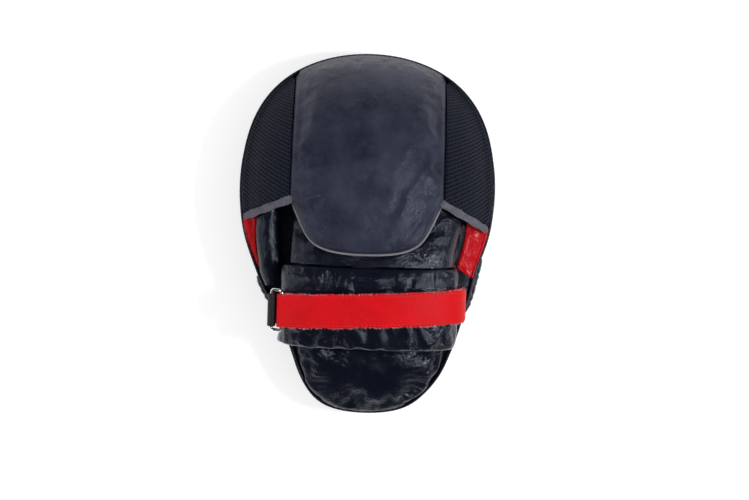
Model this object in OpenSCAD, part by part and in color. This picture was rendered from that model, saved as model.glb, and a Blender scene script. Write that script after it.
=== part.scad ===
// Curved focus mitt for boxing training, right hand, lying on its strike face.
// X runs across the mitt, +Y to the fingertips, +Z to the back of the hand.
// The origin is under the middle of the pad, on the table.

/* [Pad] */
// Length of the mitt from fingertip end to heel
pad_l = 269; // [255:1:285]
// Radius of the round finger end, half of the mitt's width
top_r = 94; // [90:1:98]
// Radius of the round heel end
heel_r = 60; // [57:1:63]
// Radius of the long curve down each side
side_r = 700; // [600:10:900]
// How much squarer than a circle the finger end is, as a share of its width
top_full = 0.14; // [0.1:0.01:0.16]
// How much squarer than a circle the heel end is, as a share of its width
heel_full = 0.45; // [0.3:0.05:0.55]
// How much the sides beside the hand swell, as a share of the width
side_full = 0.046; // [0.03:0.002:0.05]
// How far the heel end swings away from the thumb
heel_swing = 6; // [3:0.5:6]
// How far the heel's tip comes back from that swing
tip_back = 3; // [1:0.5:4]
// How far the bent pad arches off the table
arch_rise = 22; // [18:1:26]
// Height of the pad's side wall
wall_h = 34; // [32:1:40]
// Roll of the strike face into the wall
edge_r = 14; // [12:1:16]
// Thickness of the leather skins with their backing
skin_t = 1.8; // [1.5:0.1:2.1]
// Thickness of the gel sheet behind the strike face
gel_t = 5; // [4:0.5:6]
// Thickness of the soft foam against the palm
comfort_t = 8; // [6:0.5:9]
// Thickness of the palm-side panel that closes the pad
panel_t = 2; // [1.6:0.2:2.6]
// Radius of the piping round the rim
rim_r = 1.2; // [1:0.1:1.6]
// Depth of the flat lands where the pad rests on a table
land_cut = 0.5; // [0.3:0.1:0.8]

/* [Hood over the fingers] */
// Rise of the hood above the pad's rim
hood_rise = 46; // [43:1:50]
// Fullness of the hood's dome, higher is squarer
hood_p = 3.4; // [3.2:0.1:3.8]
// Half width of the padded centre panel
panel_w = 56; // [53:1:58]
// Thickness of the centre panel at its edges
panel_edge = 6; // [5:0.5:7]
// Thickness of the centre panel in its middle
panel_mid = 12.5; // [11:0.5:14]
// How much the centre panel crowns above the dome
panel_crown = 4; // [2:0.5:5]
// Thickness of the spacer mesh
mesh_t = 3; // [2.5:0.1:3.4]
// Y of the line where the free tongue starts
hinge_y = 24.5; // [22:0.5:28]
// Length of the free tongue
tongue_l = 40; // [38:1:43]
// How much the tongue narrows to its end, as a share of its width
tongue_taper = 0.33; // [0.2:0.01:0.4]
// Y where the left mesh's lower edge meets the rim
mesh_low_left = 12; // [6:1:16]
// Y where the right mesh's lower edge meets the rim
mesh_low_right = 8; // [4:1:12]
// Radius of the grey binding on the mesh's lower edge
bind_r = 2.1; // [1.8:0.1:2.3]
// Radius of the piping round the tongue
piping_r = 1.1; // [0.8:0.1:1.3]

/* [Wrist cuff] */
// Half width of the cuff, outside
cuff_a = 65; // [62:1:66]
// Half height of the cuff's oval, outside
cuff_b = 25; // [23:1:26]
// How far the cuff sits off the pad's middle, away from the thumb
cuff_x = 4; // [3.5:0.5:5]
// Length of the cuff along the arm
cuff_l = 60; // [56:1:62]
// Thickness of the cuff's padded wall
cuff_t = 8; // [7:0.5:9]
// Y of the cuff's middle, where it stands on the pad
wrist_y = -51; // [-53:0.5:-49]

/* [Strap and ring] */
// Width of the strap
strap_w = 24.5; // [23:0.5:25]
// Thickness of the strap's leather
strap_t = 1.8; // [1.6:0.1:2]
// Thickness of the soft loop patch on the under strap
loop_t = 1.2; // [1:0.1:1.4]
// Thickness of the hook patch on the tail
hook_t = 1; // [0.8:0.1:1.2]
// Slant of the strap across the mitt, in degrees
strap_tilt = 3; // [2:0.5:4]
// Radius of the ring's wire
wire_r = 1.3; // [1.1:0.1:1.4]
// Distance between the ring's two long bars
ring_w = 8; // [7.6:0.1:9]
// Clear length of the ring along its bars
ring_l = 27; // [26:0.5:28]
// How far the ring's middle reaches past the cuff's shoulder
ring_reach = 12.5; // [11.5:0.5:13.5]
// Where the strap's free end lies, in degrees round the cuff
tail_end_t = 10; // [5:1:20]

/* [Hand parts] */
// Radius of the grip pad in the palm
grip_r = 25; // [22:1:27]
// Height of the grip pad in the palm
grip_h = 11; // [8:1:13]
// Outer radius of a finger stall
stall_r = 10.8; // [10:0.2:11]
// Height of the straight sides of a finger stall
stall_side = 7; // [5:0.5:8]
// Wall of the finger stalls, thumb stall and sleeve
liner_t = 1.6; // [1.4:0.1:1.8]
// Outer width of the thumb stall
thumb_w = 19; // [18:0.5:20]
// Height of the thumb stall
thumb_h = 17; // [16:0.5:18]
// Thickness of the heel cushion in its middle
heel_t = 10; // [8:0.5:10]
// Thickness of the tabs on the side walls
tab_t = 3; // [2.5:0.1:3.5]

/* [Hidden] */

black = "#16171c";
dark_grey = "#2c2d34";
grey = "#6d6a75";
red = "#c81420";
foam = "#3b3f45";
gel = "#4d6f8f";
steel = "#c9ccd1";

gap = 0.3;          // clearance between pieces that lie on each other
layer_gap = 0.5;    // clearance between the pad's inner layers

// ---- The pad's plan: two end circles joined by long side arcs, and its arch ----

half_l = pad_l / 2;
top_y = half_l - top_r;
heel_y = heel_r - half_l;
side_d = (pow(side_r - top_r, 2) - pow(side_r - heel_r, 2) + pow(top_y - heel_y, 2)) / (2 * (top_y - heel_y));
side_y = top_y - side_d;
side_x = -sqrt(pow(side_r - top_r, 2) - side_d * side_d);
top_a = atan2(side_d, -side_x);
heel_a = atan2(heel_y - side_y, -side_x);

arch_r = (half_l * half_l + arch_rise * arch_rise) / (2 * arch_rise);
// The roll's lowest ring is 67.5 degrees down the roll; it goes below the table by the land's depth.
low_y = half_l - edge_r + edge_r * cos(67.5);
arch_low = sqrt(arch_r * arch_r - low_y * low_y) + edge_r - edge_r * sin(67.5);
function arch(y) = sqrt(arch_r * arch_r - y * y) - arch_low - land_cut;
function arch_slope(y) = -atan(y / sqrt(arch_r * arch_r - y * y));

// The heel end swings sideways, smoothly from swing_y down to the cuff's end, and its tip comes back from back_y on.
swing_y = -15;
swing_end_y = -85;
back_y = -92;
function soft_step(t) = let (s = min(1, max(0, t))) s * s * (3 - 2 * s);
function swing(y) = heel_swing * soft_step((swing_y - y) / (swing_y - swing_end_y))
    - tip_back * soft_step((back_y - y) / (back_y + half_l));

function on_arc(cx, cy, r, a) = [cx + r * cos(a), cy + r * sin(a)];

// The plan's circles are widened at both ends and beside the hand by this factor.
full_y = 55;
full_span = half_l - full_y;
function wide(y) = 1 + top_full * pow(max(0, (y - full_y) / full_span), 1.6)
    + heel_full * exp(-(y + half_l) / 8.5)
    + side_full * exp(-pow((y + 2) / 28, 2)) + 0.4 * side_full * exp(-pow((y + 42) / 16, 2));
function widened(points) = [for (p = points) [p[0] * wide(p[1]), p[1]]];

// The plan's outline, moved inwards by inset: each arc keeps its centre and changes its radius.
function outline(inset, n_top = 20, n_side = 6, n_heel = 12) = widened([
    for (i = [0:n_top - 1]) on_arc(0, top_y, top_r - inset, top_a + i * (180 - 2 * top_a) / n_top),
    for (i = [0:n_side - 1]) on_arc(-side_x, side_y, side_r - inset, 180 - top_a + i * (top_a - heel_a) / n_side),
    for (i = [0:n_heel - 1]) on_arc(0, heel_y, heel_r - inset, 180 - heel_a + i * (180 + 2 * heel_a) / n_heel),
    for (i = [0:n_side - 1]) on_arc(side_x, side_y, side_r - inset, heel_a + i * (top_a - heel_a) / n_side)]);

// Half the width at y of the outline at an inset.
function half_width(y, inset = 0) = wide(y) * circle_width(y, inset);
function circle_width(y, inset) =
    y > top_y + (top_r - inset) * sin(top_a) ? sqrt(max(0, pow(top_r - inset, 2) - pow(y - top_y, 2)))
    : y < heel_y + (heel_r - inset) * sin(heel_a) ? sqrt(max(0, pow(heel_r - inset, 2) - pow(y - heel_y, 2)))
    : side_x + sqrt(pow(side_r - inset, 2) - pow(y - side_y, 2));

// The hood's dome over the plan: full in the middle and down to the rim at q = 1.
function rim_share(x, y) = y > top_y ? norm([x / wide(y), y - top_y]) / top_r : abs(x) / half_width(y);
function dome(x, y) = wall_h + hood_rise * (1 - pow(rim_share(x, y), hood_p)) + arch(y);

// ---- Solids made from points ----

function lift(points, h, k = 1) = [for (p = points) [k * p[0] + swing(k * p[1]), k * p[1], h + arch(k * p[1])]];
function quad(a, b, c, d) = [[a, b, c], [a, c, d]];
function flat1(list) = [for (a = list) each a];

// A closed solid through a stack of equal rings, with a point in the middle of each end.
module skin(rings, first, last) {
    n = len(rings[0]);
    m = len(rings);
    faces = [
        for (k = [0:m - 2], i = [0:n - 1])
            each quad(k * n + i, (k + 1) * n + i, (k + 1) * n + (i + 1) % n, k * n + (i + 1) % n),
        for (i = [0:n - 1]) [m * n, i, (i + 1) % n],
        for (i = [0:n - 1]) [m * n + 1, (m - 1) * n + (i + 1) % n, (m - 1) * n + i]];
    polyhedron(concat(flat1(rings), [first, last]), faces, convexity = 6);
}

// A closed solid through a loop of equal rings.
module skin_loop(rings) {
    n = len(rings[0]);
    m = len(rings);
    polyhedron(flat1(rings), [
        for (k = [0:m - 1], i = [0:n - 1])
            each quad(k * n + i, (k + 1) % m * n + i, (k + 1) % m * n + (i + 1) % n, k * n + (i + 1) % n)],
        convexity = 6);
}

// A sheet over a grid of u and v, between an outer and an inner surface. Across u, v and outwards are right-handed.
module sheet(us, vs, outer, inner) {
    nu = len(us);
    nv = len(vs);
    n = nu * nv;
    points = concat([for (u = us, v = vs) outer(u, v)], [for (u = us, v = vs) inner(u, v)]);
    faces = [
        for (i = [0:nu - 2], j = [0:nv - 2])
            each quad(i * nv + j, i * nv + j + 1, (i + 1) * nv + j + 1, (i + 1) * nv + j),
        for (i = [0:nu - 2], j = [0:nv - 2])
            each quad(n + i * nv + j, n + (i + 1) * nv + j, n + (i + 1) * nv + j + 1, n + i * nv + j + 1),
        for (i = [0:nu - 2]) each quad(i * nv, (i + 1) * nv, n + (i + 1) * nv, n + i * nv),
        for (i = [0:nu - 2])
            each quad((i + 1) * nv - 1, n + (i + 1) * nv - 1, n + (i + 2) * nv - 1, (i + 2) * nv - 1),
        for (j = [0:nv - 2]) each quad(j, n + j, n + j + 1, j + 1),
        for (j = [0:nv - 2])
            each quad((nu - 1) * nv + j, (nu - 1) * nv + j + 1, n + (nu - 1) * nv + j + 1, n + (nu - 1) * nv + j)];
    polyhedron(points, faces, convexity = 6);
}

function unit(v) = v / norm(v);
// Rings of n points round each point of a path, square to it, r_side across and r_up high.
function tube_rings(path, r_side, r_up, n, loop = false) = [
    for (i = [0:len(path) - 1])
        let (m = len(path),
            before = loop ? path[(i + m - 1) % m] : path[max(i - 1, 0)],
            after = loop ? path[(i + 1) % m] : path[min(i + 1, m - 1)],
            along = unit(after - before),
            side = unit(cross(along, [0, 0, 1])),
            up = cross(side, along))
        [for (k = [0:n - 1]) path[i] + r_side * cos(k * 360 / n) * side + r_up * sin(k * 360 / n) * up]];
module tube(path, r_side, r_up, n = 6) {
    skin([for (ring = tube_rings(path, r_side, r_up, n)) [for (k = [n - 1:-1:0]) ring[k]]],
        path[0], path[len(path) - 1]);
}

// Even steps from a to b.
function steps(a, b, n) = [for (i = [0:n]) a + (b - a) * i / n];

// ---- The strike pad ----

// Height of the strike skin at an inset, rolled up at the edge, with the roll's radius reduced by in.
function roll(a, in) = [edge_r - (edge_r - in) * cos(a), edge_r - (edge_r - in) * sin(a)];
inner_k = [0.75, 0.5, 0.25];

function layer_rings(inset, low, high) = [
    for (k = [0.25, 0.5, 0.75, 1]) lift(outline(inset), low, k),
    for (k = [1, 0.75, 0.5, 0.25]) lift(outline(inset), high, k)];
module pad_layer(inset, low, high) {
    skin(layer_rings(inset, low, high), [0, 0, low + arch(0)], [0, 0, high + arch(0)]);
}

module strike_cover() {
    core = outline(edge_r);
    rings = [
        for (k = [0.25, 0.5, 0.75, 1]) lift(core, 0, k),
        for (a = [67.5, 45, 22.5, 0]) let (p = roll(a, 0)) lift(outline(p[0]), p[1]),
        lift(outline(0), wall_h),
        lift(outline(skin_t), wall_h),
        for (a = [0, 22.5, 45, 67.5]) let (p = roll(a, skin_t)) lift(outline(p[0]), p[1]),
        for (k = [1, 0.75, 0.5, 0.25]) lift(core, skin_t, k)];
    color(black) intersection() {
        skin(rings, [0, 0, arch(0)], [0, 0, skin_t + arch(0)]);
        translate([-pad_l, -pad_l, 0]) cube([2 * pad_l, 2 * pad_l, pad_l]);
    }
}

gel_low = skin_t + layer_gap;
impact_low = gel_low + gel_t + layer_gap;
comfort_high = wall_h - panel_t - layer_gap;
impact_high = comfort_high - comfort_t - layer_gap;
// The least inset at which a layer's lower edge clears the rolled skin.
function roll_inset(low) = edge_r + layer_gap - sqrt(max(0, pow(edge_r - skin_t, 2) - pow(max(0, edge_r - low), 2)));

module gel_sheet() color(gel) pad_layer(edge_r - 1, gel_low, gel_low + gel_t);
module impact_foam() color(foam) pad_layer(roll_inset(impact_low), impact_low, impact_high);
module comfort_foam() color(foam) pad_layer(skin_t + layer_gap, impact_high + layer_gap, comfort_high);
module back_panel() color(black) pad_layer(skin_t + gap, wall_h - panel_t, wall_h);

rim_inset = rim_r - skin_t / 4;
module rim_piping() {
    path = lift(outline(rim_inset), wall_h + gap + rim_r);
    color(black) skin_loop(tube_rings(path, rim_r, rim_r, 6, true));
}

// ---- The heel cushion, a crowned half disc below the cuff ----

heel_inset = rim_inset + rim_r + 1;
heel_top_y = wrist_y - cuff_l / 2 - 1;
heel_cy = (heel_top_y + heel_inset - half_l) / 2;
heel_half_y = heel_top_y - heel_cy;
// A point of the cushion's plan at share k of its size: along the heel's rim below, with round corners above.
function heel_point(a, k) =
    let (y = heel_cy + heel_half_y * sin(a), round_off = sin(a) > 0 ? pow(abs(cos(a)), 0.25) : 1)
    [k * sign(round(1e6 * cos(a))) * half_width(y, heel_inset) * round_off, heel_cy + k * (y - heel_cy)];
module heel_cushion() {
    // Share of the plan, and height as a share of the thickness.
    profile = [[0.5, 0.02], [0.97, 0.02], [1, 0.25], [0.97, 0.5], [0.88, 0.74], [0.7, 0.92], [0.4, 1]];
    rings = [for (p = profile)
        lift([for (a = [0:10:350]) heel_point(a, p[0])], wall_h + gap + heel_t * p[1])];
    middle = [[0, heel_cy]];
    color(black) skin(rings, lift(middle, wall_h + gap + 0.02 * heel_t)[0], lift(middle, wall_h + gap + heel_t)[0]);
}

// ---- The hood: a padded centre panel, its free tongue, and spacer mesh at both sides ----

mesh_inset = rim_inset + rim_r + gap;
// Shares across and along a padded panel, close together at the edges, where the cover wraps round.
cover_us = [-1, -0.94, -0.75, -0.5, -0.25, 0, 0.25, 0.5, 0.75, 0.94, 1];
core_us = [-0.92, -0.75, -0.5, -0.25, 0, 0.25, 0.5, 0.75, 0.92];
lining_us = [-0.965, -0.75, -0.5, -0.25, 0, 0.25, 0.5, 0.75, 0.965];
panel_vs = [0, 0.17, 0.34, 0.51, 0.68, 0.84, 0.97, 1];
tongue_vs = [0, 0.2, 0.4, 0.6, 0.7, 0.8, 0.88, 0.95, 0.985];

// Y where the rim's inside passes x, found in a few rounds because the widening depends on y.
function rim_y(x, rounds = 6, y = top_y + top_r) =
    rounds == 0 ? y : rim_y(x, rounds - 1, top_y + sqrt(pow(top_r - mesh_inset, 2) - pow(x / wide(y), 2)));
// Plan of the fixed panel: v runs from the tongue's hinge line to the rim.
function panel_xy(u, v) = let (x = u * panel_w, y0 = hinge_y + gap, y1 = rim_y(x)) [x, y0 + (y1 - y0) * v];
// Plan of the tongue: v runs from the hinge line to the tip. It narrows evenly, and its end is round.
function tongue_xy(u, v) =
    let (down = sin(90 * v), width = panel_w * (1 - tongue_taper * down) * pow(1 - pow(down, 8), 0.4))
    [u * width, hinge_y - gap - tongue_l * down];

// The panel swells from its sewn edges to its middle.
function swell(u, v) = (1 - pow(abs(u), 4)) * (1 - pow(v, 5));
function panel_depth(u, v) = panel_edge + (panel_mid - panel_edge) * swell(u, v);
// A point of a padded panel, at a depth below its outer surface, held over the pad where the dome runs low.
function padded(xy, u, v, depth) =
    [xy[0], xy[1], max(wall_h + gap + arch(xy[1]), dome(xy[0], xy[1]) + panel_crown * swell(u, v) - depth)];

cover_t = 1.5;
lining_t = 1.2;
function core_depth(u, v, share) = let (top = cover_t + gap, low = panel_depth(u, v) - lining_t - gap)
    top + (low - top) * share;
// The cover hangs down round the edge as far as the lining's underside.
function cover_depth(u, v, v_end) = abs(u) == 1 || v == v_end ? panel_depth(u, v) : cover_t;

module hood_panel_cover() color(dark_grey) sheet(cover_us, panel_vs,
    function(u, v) padded(panel_xy(u, v), u, v, 0),
    function(u, v) padded(panel_xy(u, v), u, v, cover_depth(u, v, 1)));
module hood_panel_gel() color(gel) sheet(core_us, [for (v = panel_vs) if (v < 0.96) v],
    function(u, v) padded(panel_xy(u, v), u, v, core_depth(u, v, 0)),
    function(u, v) padded(panel_xy(u, v), u, v, core_depth(u, v, 0.42)));
module hood_panel_foam() color(foam) sheet(core_us, [for (v = panel_vs) if (v < 0.96) v],
    function(u, v) padded(panel_xy(u, v), u, v, core_depth(u, v, 0.5)),
    function(u, v) padded(panel_xy(u, v), u, v, core_depth(u, v, 1)));
module hood_panel_lining() color(black) sheet(lining_us, [for (v = panel_vs) min(v, 0.985)],
    function(u, v) padded(panel_xy(u, v), u, v, panel_depth(u, v) - lining_t),
    function(u, v) padded(panel_xy(u, v), u, v, panel_depth(u, v)));

function reversed(list) = [for (i = [len(list) - 1:-1:0]) list[i]];
module tongue_cover() color(dark_grey) sheet(reversed(cover_us), tongue_vs,
    function(u, v) padded(tongue_xy(u, v), u, v, 0),
    function(u, v) padded(tongue_xy(u, v), u, v, cover_depth(u, v, 0.985)));
module tongue_foam() color(foam) sheet(reversed(core_us), [for (v = tongue_vs) if (v < 0.9) v],
    function(u, v) padded(tongue_xy(u, v), u, v, core_depth(u, v, 0)),
    function(u, v) padded(tongue_xy(u, v), u, v, core_depth(u, v, 1)));
module tongue_lining() color(black) sheet(reversed(lining_us), [for (v = tongue_vs) if (v < 0.98) v],
    function(u, v) padded(tongue_xy(u, v), u, v, panel_depth(u, v) - lining_t),
    function(u, v) padded(tongue_xy(u, v), u, v, panel_depth(u, v)));
module tongue_piping() {
    // Round the tongue's free edge, from one end of the hinge line to the other.
    vs = [0.1, 0.25, 0.4, 0.55, 0.7, 0.8, 0.9, 0.96];
    edge = [for (v = vs) [1, v], [0.5, 0.985], [-0.5, 0.985], for (v = reversed(vs)) [-1, v]];
    path = [for (e = edge)
        let (p = tongue_xy(e[0], e[1]), out = unit([p[0] / panel_w, (p[1] - hinge_y) / tongue_l]) * (piping_r + gap + 0.5))
        [p[0] + out[0], p[1] + out[1] - 0.2, dome(p[0], p[1]) - panel_edge + piping_r]];
    color(grey) tube(path, piping_r, piping_r);
}

// Plan of the right mesh panel: u from the centre panel to the rim, v from its lower edge to the top.
mesh_x = panel_w + gap + 0.2;
rim_high_a = asin((rim_y(mesh_x) - top_y) / (top_r - mesh_inset)) - 1.5;
seam_y0 = hinge_y + gap;
seam_y1 = rim_y(mesh_x) - 3;
function mesh_xy(u, v, low) =
    let (low_a = asin((low - top_y) / (top_r - mesh_inset)),
        rim = widened([on_arc(0, top_y, top_r - mesh_inset, low_a + (rim_high_a - low_a) * v)])[0],
        seam = [mesh_x, seam_y0 + (seam_y1 - seam_y0) * v])
    seam + (rim - seam) * u;
module mesh_panel(low) color(black) sheet(steps(0, 1, 6), steps(0, 1, 9),
    function(u, v) let (p = mesh_xy(u, v, low)) [p[0], p[1], dome(p[0], p[1])],
    function(u, v) let (p = mesh_xy(u, v, low)) [p[0], p[1], dome(p[0], p[1]) - mesh_t]);
module mesh_left() mirror([1, 0, 0]) mesh_panel(mesh_low_left);
module mesh_right() mesh_panel(mesh_low_right);

// Grey binding that hems the mesh's lower edge.
module mesh_binding(low) {
    ends = [mesh_xy(0, 0, low), mesh_xy(1, 0, low)];
    down = unit([ends[0][1] - ends[1][1], ends[1][0] - ends[0][0]]) * -(bind_r + gap);
    path = [for (u = steps(0.12, 0.93, 6)) let (q = mesh_xy(u, 0, low) + down)
        [q[0], q[1], dome(q[0], q[1]) - mesh_t / 4]];
    color(grey) tube(path, bind_r, bind_r * 0.8, 8);
}
module mesh_binding_left() mirror([1, 0, 0]) mesh_binding(mesh_low_left);
module mesh_binding_right() mesh_binding(mesh_low_right);

// ---- Red leather panels and tabs at the sides ----

red_t = 1.2;
red_low_y = -31;
// The room between the rim's piping and the thumb stall, which widens to the fingers.
thumb_start_y = -27;
function thumb_room(y) = max(0, 0.8 + 0.22 * (y - thumb_start_y));
function rim_x(y) = half_width(y) - mesh_inset;

// Inside the rim on side s, from y0 to y1 along it, each a function of u; width is a function of v.
module red_panel(s, y0, y1, width) {
    function at(u, v, h) = let (y = y0(u) + (y1(u) - y0(u)) * v)
        [swing(y) + s * (rim_x(y) - gap - (1 - u) * width(v)), y, h + arch(y)];
    us = s > 0 ? steps(0, 1, 2) : steps(1, 0, 2);
    color(red) sheet(us, steps(0, 1, 4),
        function(u, v) at(u, v, wall_h + gap + red_t),
        function(u, v) at(u, v, wall_h + gap));
}
// A narrow wedge beside the thumb stall.
module red_panel_left() red_panel(-1,
    function(u) thumb_start_y, function(u) mesh_low_left - 2,
    function(v) 0.4 + (thumb_room(mesh_low_left - 2) - 0.9) * v);
// A wider panel that narrows to the cuff.
module red_panel_right() red_panel(1,
    function(u) red_low_y + 8 * (1 - u), function(u) mesh_low_right - 2 + 4 * (1 - u),
    function(v) 12.5 + 3 * v);

// A small tab sewn on the wall on side s, from y0 to y1 along the mitt, beside the cuff.
module side_tab(s, y0, y1) {
    function at(y, h, out) = [swing(y) + s * (half_width(y) + gap + out), y, h + arch(y)];
    ys = [y0, y0 + 2, (y0 + y1) / 2, y1 - 2, y1];
    color(black) sheet(s > 0 ? ys : reversed(ys), steps(edge_r + 2, wall_h - 3, 3),
        function(y, h) at(y, h, tab_t * (y == y0 || y == y1 ? 0.4 : 1)),
        function(y, h) at(y, h, 0));
}
module side_tab_left() side_tab(-1, wrist_y - 0.05 * cuff_l, wrist_y + 0.28 * cuff_l);
module side_tab_right() side_tab(1, wrist_y - 0.1 * cuff_l, wrist_y + 0.58 * cuff_l);

// ---- The wrist frame: under the cuff's middle, tangent to the pad's back ----

module wrist_frame() translate([cuff_x, wrist_y, wall_h + arch(wrist_y)])
    rotate([arch_slope(wrist_y), 0, 0]) children();

leg_t = 40;         // the cuff's oval ends this far below its widest points, in degrees
cuff_power = 0.75;  // roundness of the oval: 1 is an ellipse, less is squarer
function curl(s) = sign(s) * pow(abs(s), cuff_power);
cuff_zc = gap - cuff_b * curl(sin(-leg_t));
// A point of the cuff's oval at t degrees, moved outwards by off.
function oval(t, off) = [(cuff_a + off) * curl(cos(t)), cuff_zc + (cuff_b + off) * curl(sin(t))];
function oval3(t, y, off) = let (p = oval(t, off)) [p[0], y, max(gap, p[1])];
cuff_ts = [for (t = [-leg_t:10:180 + leg_t]) t];
// Shares along the cuff, close together at the hems, where the cover wraps round.
cuff_vs = [1, 0.95, 0.7, 0.25, -0.25, -0.7, -0.95, -1];
// The hems are rounded: the outside drops there, under where the strap lies.
function hem(v) = -2.5 * pow(abs(v), 8);
module cuff_layer(vs, outer, inner) wrist_frame() sheet(cuff_ts, vs,
    function(t, v) oval3(t, v * cuff_l / 2, outer(v)),
    function(t, v) oval3(t, v * cuff_l / 2, inner(v)));
module cuff_cover() color(black) cuff_layer(cuff_vs,
    function(v) hem(v),
    function(v) abs(v) == 1 ? -cuff_t : hem(v) - cover_t);
module cuff_foam() color(foam) cuff_layer([0.9, 0.45, 0, -0.45, -0.9],
    function(v) hem(v) - cover_t - gap,
    function(v) lining_t + gap - cuff_t);
module cuff_lining() color(dark_grey) cuff_layer([0.96, 0.45, 0, -0.45, -0.96],
    function(v) lining_t - cuff_t,
    function(v) -cuff_t);

// ---- Strap, ring and patches, stacked outwards from the cuff's oval ----

under_off = 0.5;
under_top = under_off + strap_t;
loop_off = under_top + 0.2;
hook_off = loop_off + loop_t + 0.2;
tail_off = hook_off + hook_t + 0.2;
bar_off = under_top + 0.3 + wire_r;
bore_r = wire_r + 0.3;
fold_r = bore_r + strap_t;
eye_r = bore_r + 1.6;

// Left of the cuff's shoulder the strap runs straight to the ring.
shoulder_t = 140;
run = unit(oval(shoulder_t - 1, bar_off) - oval(shoulder_t + 1, bar_off));
rise = [-run[1], run[0]];
ring_mid = oval(shoulder_t, bar_off) - ring_reach * run;
fold_end = 0.2;     // the straight strap ends this far past the bar
slant = tan(strap_tilt);
// A point of the strap at t degrees and an offset; past the shoulder it is the strap's end at the ring.
function strap_xz(t, off) = t <= shoulder_t ? oval(t, off)
    : ring_mid + (ring_w / 2 + fold_end) * run + (off - bar_off) * rise;
function strap_ts(t0, t1) = [t0, for (t = [ceil((t0 + 1) / 10) * 10:10:t1 - 1]) t, t1];
// A band of the strap from t0 to t1, between two offsets that may change along it.
module band(t0, t1, low, high, width = strap_w) wrist_frame() sheet(strap_ts(t0, t1), [width / 2, -width / 2],
    function(t, y) let (p = strap_xz(t, high(t))) [p[0], y + p[0] * slant, p[1]],
    function(t, y) let (p = strap_xz(t, low(t))) [p[0], y + p[0] * slant, p[1]]);

// The frame of the ring: X towards the strap's tail, Y along the bars, Z outwards.
module ring_frame() wrist_frame() translate([ring_mid[0], ring_mid[0] * slant, ring_mid[1]])
    rotate([0, -atan2(run[1], run[0]), 0]) children();
module bar(x, r, length) translate([x, length / 2, 0]) rotate([90, 0, 0]) cylinder(r = r, h = length, $fn = 48);

corner_r = 2;
module ring() {
    straight = ring_l + 2 * wire_r - 2 * corner_r;
    side = ring_w - 2 * corner_r;
    color(steel) ring_frame() for (s = [-1, 1]) {
        bar(s * ring_w / 2, wire_r, straight);
        translate([-side / 2, s * (straight / 2 + corner_r), 0]) rotate([0, 90, 0])
            cylinder(r = wire_r, h = side, $fn = 48);
        translate([s * side / 2, s * straight / 2, 0]) rotate([0, 0, s > 0 ? 0 : 180])
            rotate_extrude(angle = 90, $fn = 48) translate([corner_r, 0]) circle(r = wire_r, $fn = 48);
        translate([-s * side / 2, s * straight / 2, 0]) rotate([0, 0, s > 0 ? 90 : 270])
            rotate_extrude(angle = 90, $fn = 48) translate([corner_r, 0]) circle(r = wire_r, $fn = 48);
    }
}

// The ring's anchor: an eye round the ring's far bar, on a strip that runs down the cuff's side.
anchor_ts = [for (k = [1, 3, 5, 7]) 180 + leg_t * k / 8];
anchor_t = eye_r - bore_r;
module ring_anchor() {
    eye = ring_mid - ring_w / 2 * run;
    color(black) difference() {
        union() {
            ring_frame() bar(-ring_w / 2, eye_r, strap_w);
            wrist_frame() translate([0, strap_w / 2 + eye[0] * slant, 0]) rotate([90, 0, 0]) linear_extrude(strap_w)
                polygon([eye - [eye_r - 0.3, 0], for (t = anchor_ts) oval(t, under_off + anchor_t),
                    for (t = reversed(anchor_ts)) oval(t, under_off), eye - [bore_r + 0.3, 0]]);
        }
        ring_frame() bar(-ring_w / 2, bore_r, strap_w + 2);
    }
}

// The strap's tail lies on the patches and rises over the fold at the ring.
function tail_low(t) = t > shoulder_t ? bar_off + bore_r : tail_off;
crown_t = 90;       // where the strap's tail bends, on top of the cuff
bend_gap = 0.25;    // half the gap there, in degrees
end_t = shoulder_t + 1;
module strap_under() color(red) band(8 - leg_t, end_t, function(t) under_off, function(t) under_top);
module loop_patch() color(black)
    band(20, shoulder_t - 10, function(t) loop_off, function(t) loop_off + loop_t, strap_w - 3);
module strap_fold() color(red) ring_frame() difference() {
    bar(ring_w / 2, fold_r, strap_w);
    bar(ring_w / 2, bore_r, strap_w + 2);
    translate([ring_w / 2, -strap_w, -2 * fold_r]) cube([2 * fold_r, 2 * strap_w, 4 * fold_r]);
}
module strap_root() color(red)
    band(crown_t + bend_gap, end_t, function(t) tail_low(t), function(t) tail_low(t) + strap_t);
module strap_tip() color(red)
    band(tail_end_t, crown_t - bend_gap, function(t) tail_off, function(t) tail_off + strap_t);
module hook_patch() color(black)
    band(tail_end_t + 10, 80, function(t) hook_off, function(t) hook_off + hook_t, strap_w - 3);

// ---- Inside the hand pocket ----

grip_y = -3;
module palm_grip() {
    z0 = wall_h + gap + arch(0);
    rings = [for (a = steps(0, 75, 4)) [for (b = [0:15:345])
        [grip_r * cos(a) * cos(b), grip_y + grip_r * cos(a) * sin(b), z0 + grip_h * sin(a)]]];
    color(black) skin(rings, [0, grip_y, z0], [0, grip_y, z0 + grip_h]);
}

stall_y = hinge_y + 6;
// Lengths of the four finger stalls, from the thumb's side.
stall_lengths = [44, 62, 62, 44];
stall_mid_y = stall_y + 30;
// An arch with straight sides.
module stall_section(inset) {
    r = stall_r - inset;
    polygon([[-r, inset], [r, inset], for (a = [0:30:180]) [r * cos(a), stall_side + r * sin(a)]]);
}
// The finger stall numbered i from the thumb's side, closed at its tip.
module finger_stall(i) color(dark_grey)
    translate([(i - 2.5) * (2 * stall_r + gap), stall_mid_y, wall_h + gap + arch(stall_mid_y)])
        rotate([arch_slope(stall_mid_y), 0, 0]) translate([0, stall_y - stall_mid_y, 0]) {
            length = stall_lengths[i - 1];
            translate([0, length, 0]) rotate([90, 0, 0]) linear_extrude(length) difference() {
                stall_section(0);
                stall_section(liner_t);
            }
            translate([0, length + liner_t, 0]) rotate([90, 0, 0]) linear_extrude(liner_t) stall_section(0);
        }
module finger_stall_1() finger_stall(1);
module finger_stall_2() finger_stall(2);
module finger_stall_3() finger_stall(3);
module finger_stall_4() finger_stall(4);

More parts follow.
